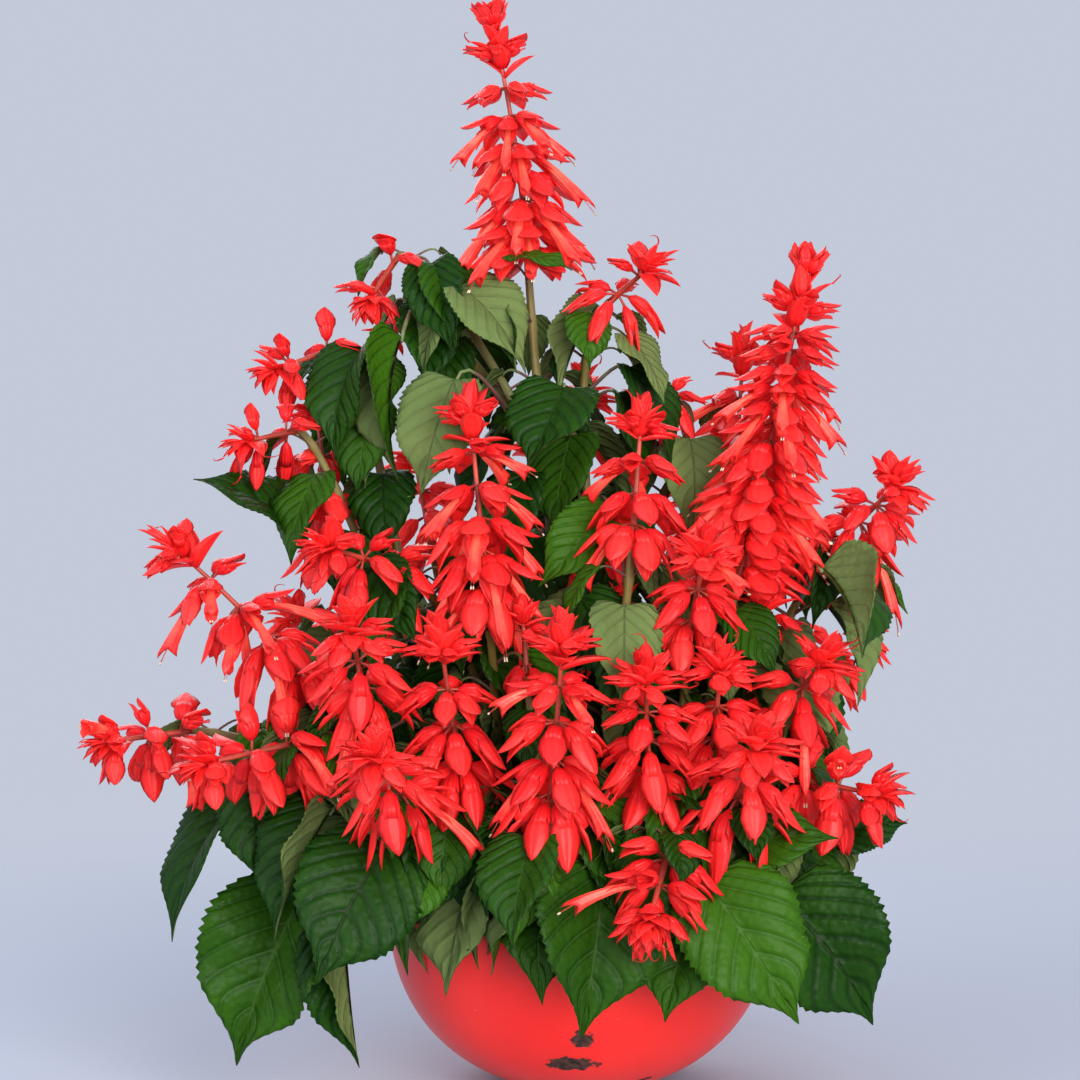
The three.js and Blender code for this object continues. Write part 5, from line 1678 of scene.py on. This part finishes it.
SETTINGS = {
    "salvia_bowl": BowlSettings,
    "salvia_soil": SoilSettings,
    "salvia_stems": StemSettings,
    "salvia_leaves": LeafSettings,
    "salvia_flowers": FlowerSettings,
    "salvia_stage": StageSettings,
}


# ------------------------------------------------------------------ operators
class SALVIA_OT_bowl(Operator):
    """Adds the painted bowl."""

    bl_idname = "salvia.bowl"
    bl_label = "Bowl"

    def execute(self, context):
        settings = context.scene.salvia_bowl
        pile = Pile()
        add_bowl(pile, settings)
        pile.make_piece("painted_bowl", [bowl_material(settings)], ["bowl"])
        return {"FINISHED"}


class SALVIA_OT_soil(Operator):
    """Adds the soil and the bits of bark on it."""

    bl_idname = "salvia.soil"
    bl_label = "Soil"

    def execute(self, context):
        settings = context.scene.salvia_soil
        pile = Pile()
        add_soil(pile, settings)
        earth = plain_material("earth", settings.earth, 0.95, scale=180.0, relief=0.002)
        bark = plain_material("bark", settings.bark, 0.85, scale=300.0, relief=0.001)
        pile.make_piece("lumpy_soil", [earth, bark], ["soil"])
        return {"FINISHED"}


class SALVIA_OT_plants(Operator):
    """Adds each plant's stems and its leaves."""

    bl_idname = "salvia.plants"
    bl_label = "Stems and leaves"

    def execute(self, context):
        leaf_settings = context.scene.salvia_leaves
        stem_settings = context.scene.salvia_stems
        stem_paint = stem_material(stem_settings)
        foliage = [leaf_material(leaf_settings), stalk_material(leaf_settings)]
        stems = plan_stems()
        solids = {plant: node_corners("plant_" + plant) for plant in PLANTS}
        large = large_leaves(stems, solids)
        paired = paired_leaves(stems, solids)
        for plant in PLANTS:
            node = "plant_" + plant
            pile = Pile()
            add_stems(pile, [stem for stem in stems.values() if stem.plant == plant], stem_settings)
            pile.make_piece("stems_" + plant, [stem_paint], [node])
            pile = Pile()
            if plant in large:
                add_leaves(pile, large[plant], leaf_settings, "large")
            add_leaves(pile, paired[plant], leaf_settings, "small")
            pile.make_piece("leaves_" + plant, foliage, [node])
        return {"FINISHED"}


class SALVIA_OT_spikes(Operator):
    """Adds the flower spikes."""

    bl_idname = "salvia.spikes"
    bl_label = "Flower spikes"

    def execute(self, context):
        settings = context.scene.salvia_flowers
        paints = [
            petal_material(settings),
            corolla_material(settings),
            plain_material("spike axis", settings.rachis, 0.5),
            plain_material("anther", settings.anther, 0.6),
        ]
        for spike in plan_spikes():
            pile = Pile()
            add_spike(pile, spike, settings)
            pile.make_piece("blooms_" + spike.name, paints, ["spike_" + spike.name])
        return {"FINISHED"}


class SALVIA_OT_stage(Operator):
    """Adds the floor, the lamps, the pale surroundings and the camera."""

    bl_idname = "salvia.stage"
    bl_label = "Stage"

    def execute(self, context):
        settings = context.scene.salvia_stage
        pale_floor(settings)
        soft_light("key", settings.key_power)
        soft_light("fill", settings.fill_power)
        soft_light("back", settings.back_power)
        make_world(settings)
        make_camera(settings)
        context.scene.view_settings.view_transform = "Standard"
        return {"FINISHED"}


OPERATORS = [SALVIA_OT_bowl, SALVIA_OT_soil, SALVIA_OT_plants, SALVIA_OT_spikes, SALVIA_OT_stage]


class SALVIA_PT_panel(Panel):
    """Lists the steps that build the potted salvia."""

    bl_idname = "SALVIA_PT_panel"
    bl_label = "Potted scarlet salvia"
    bl_space_type = "VIEW_3D"
    bl_region_type = "UI"
    bl_category = "Salvia"

    def draw(self, context):
        for step in OPERATORS:
            self.layout.operator(step.bl_idname)


def register():
    """Registers the settings, the operators and the panel."""
    for name, settings in SETTINGS.items():
        bpy.utils.register_class(settings)
        setattr(bpy.types.Scene, name, PointerProperty(type=settings))
    for step in [*OPERATORS, SALVIA_PT_panel]:
        bpy.utils.register_class(step)


def unregister():
    """Takes away all that register added."""
    for step in [SALVIA_PT_panel, *reversed(OPERATORS)]:
        bpy.utils.unregister_class(step)
    for name, settings in reversed(SETTINGS.items()):
        delattr(bpy.types.Scene, name)
        bpy.utils.unregister_class(settings)


def main():
    """Builds every piece in turn."""
    register()
    bpy.ops.salvia.bowl()
    bpy.ops.salvia.soil()
    bpy.ops.salvia.plants()
    bpy.ops.salvia.spikes()
    bpy.ops.salvia.stage()


if __name__ == "__main__":
    main()
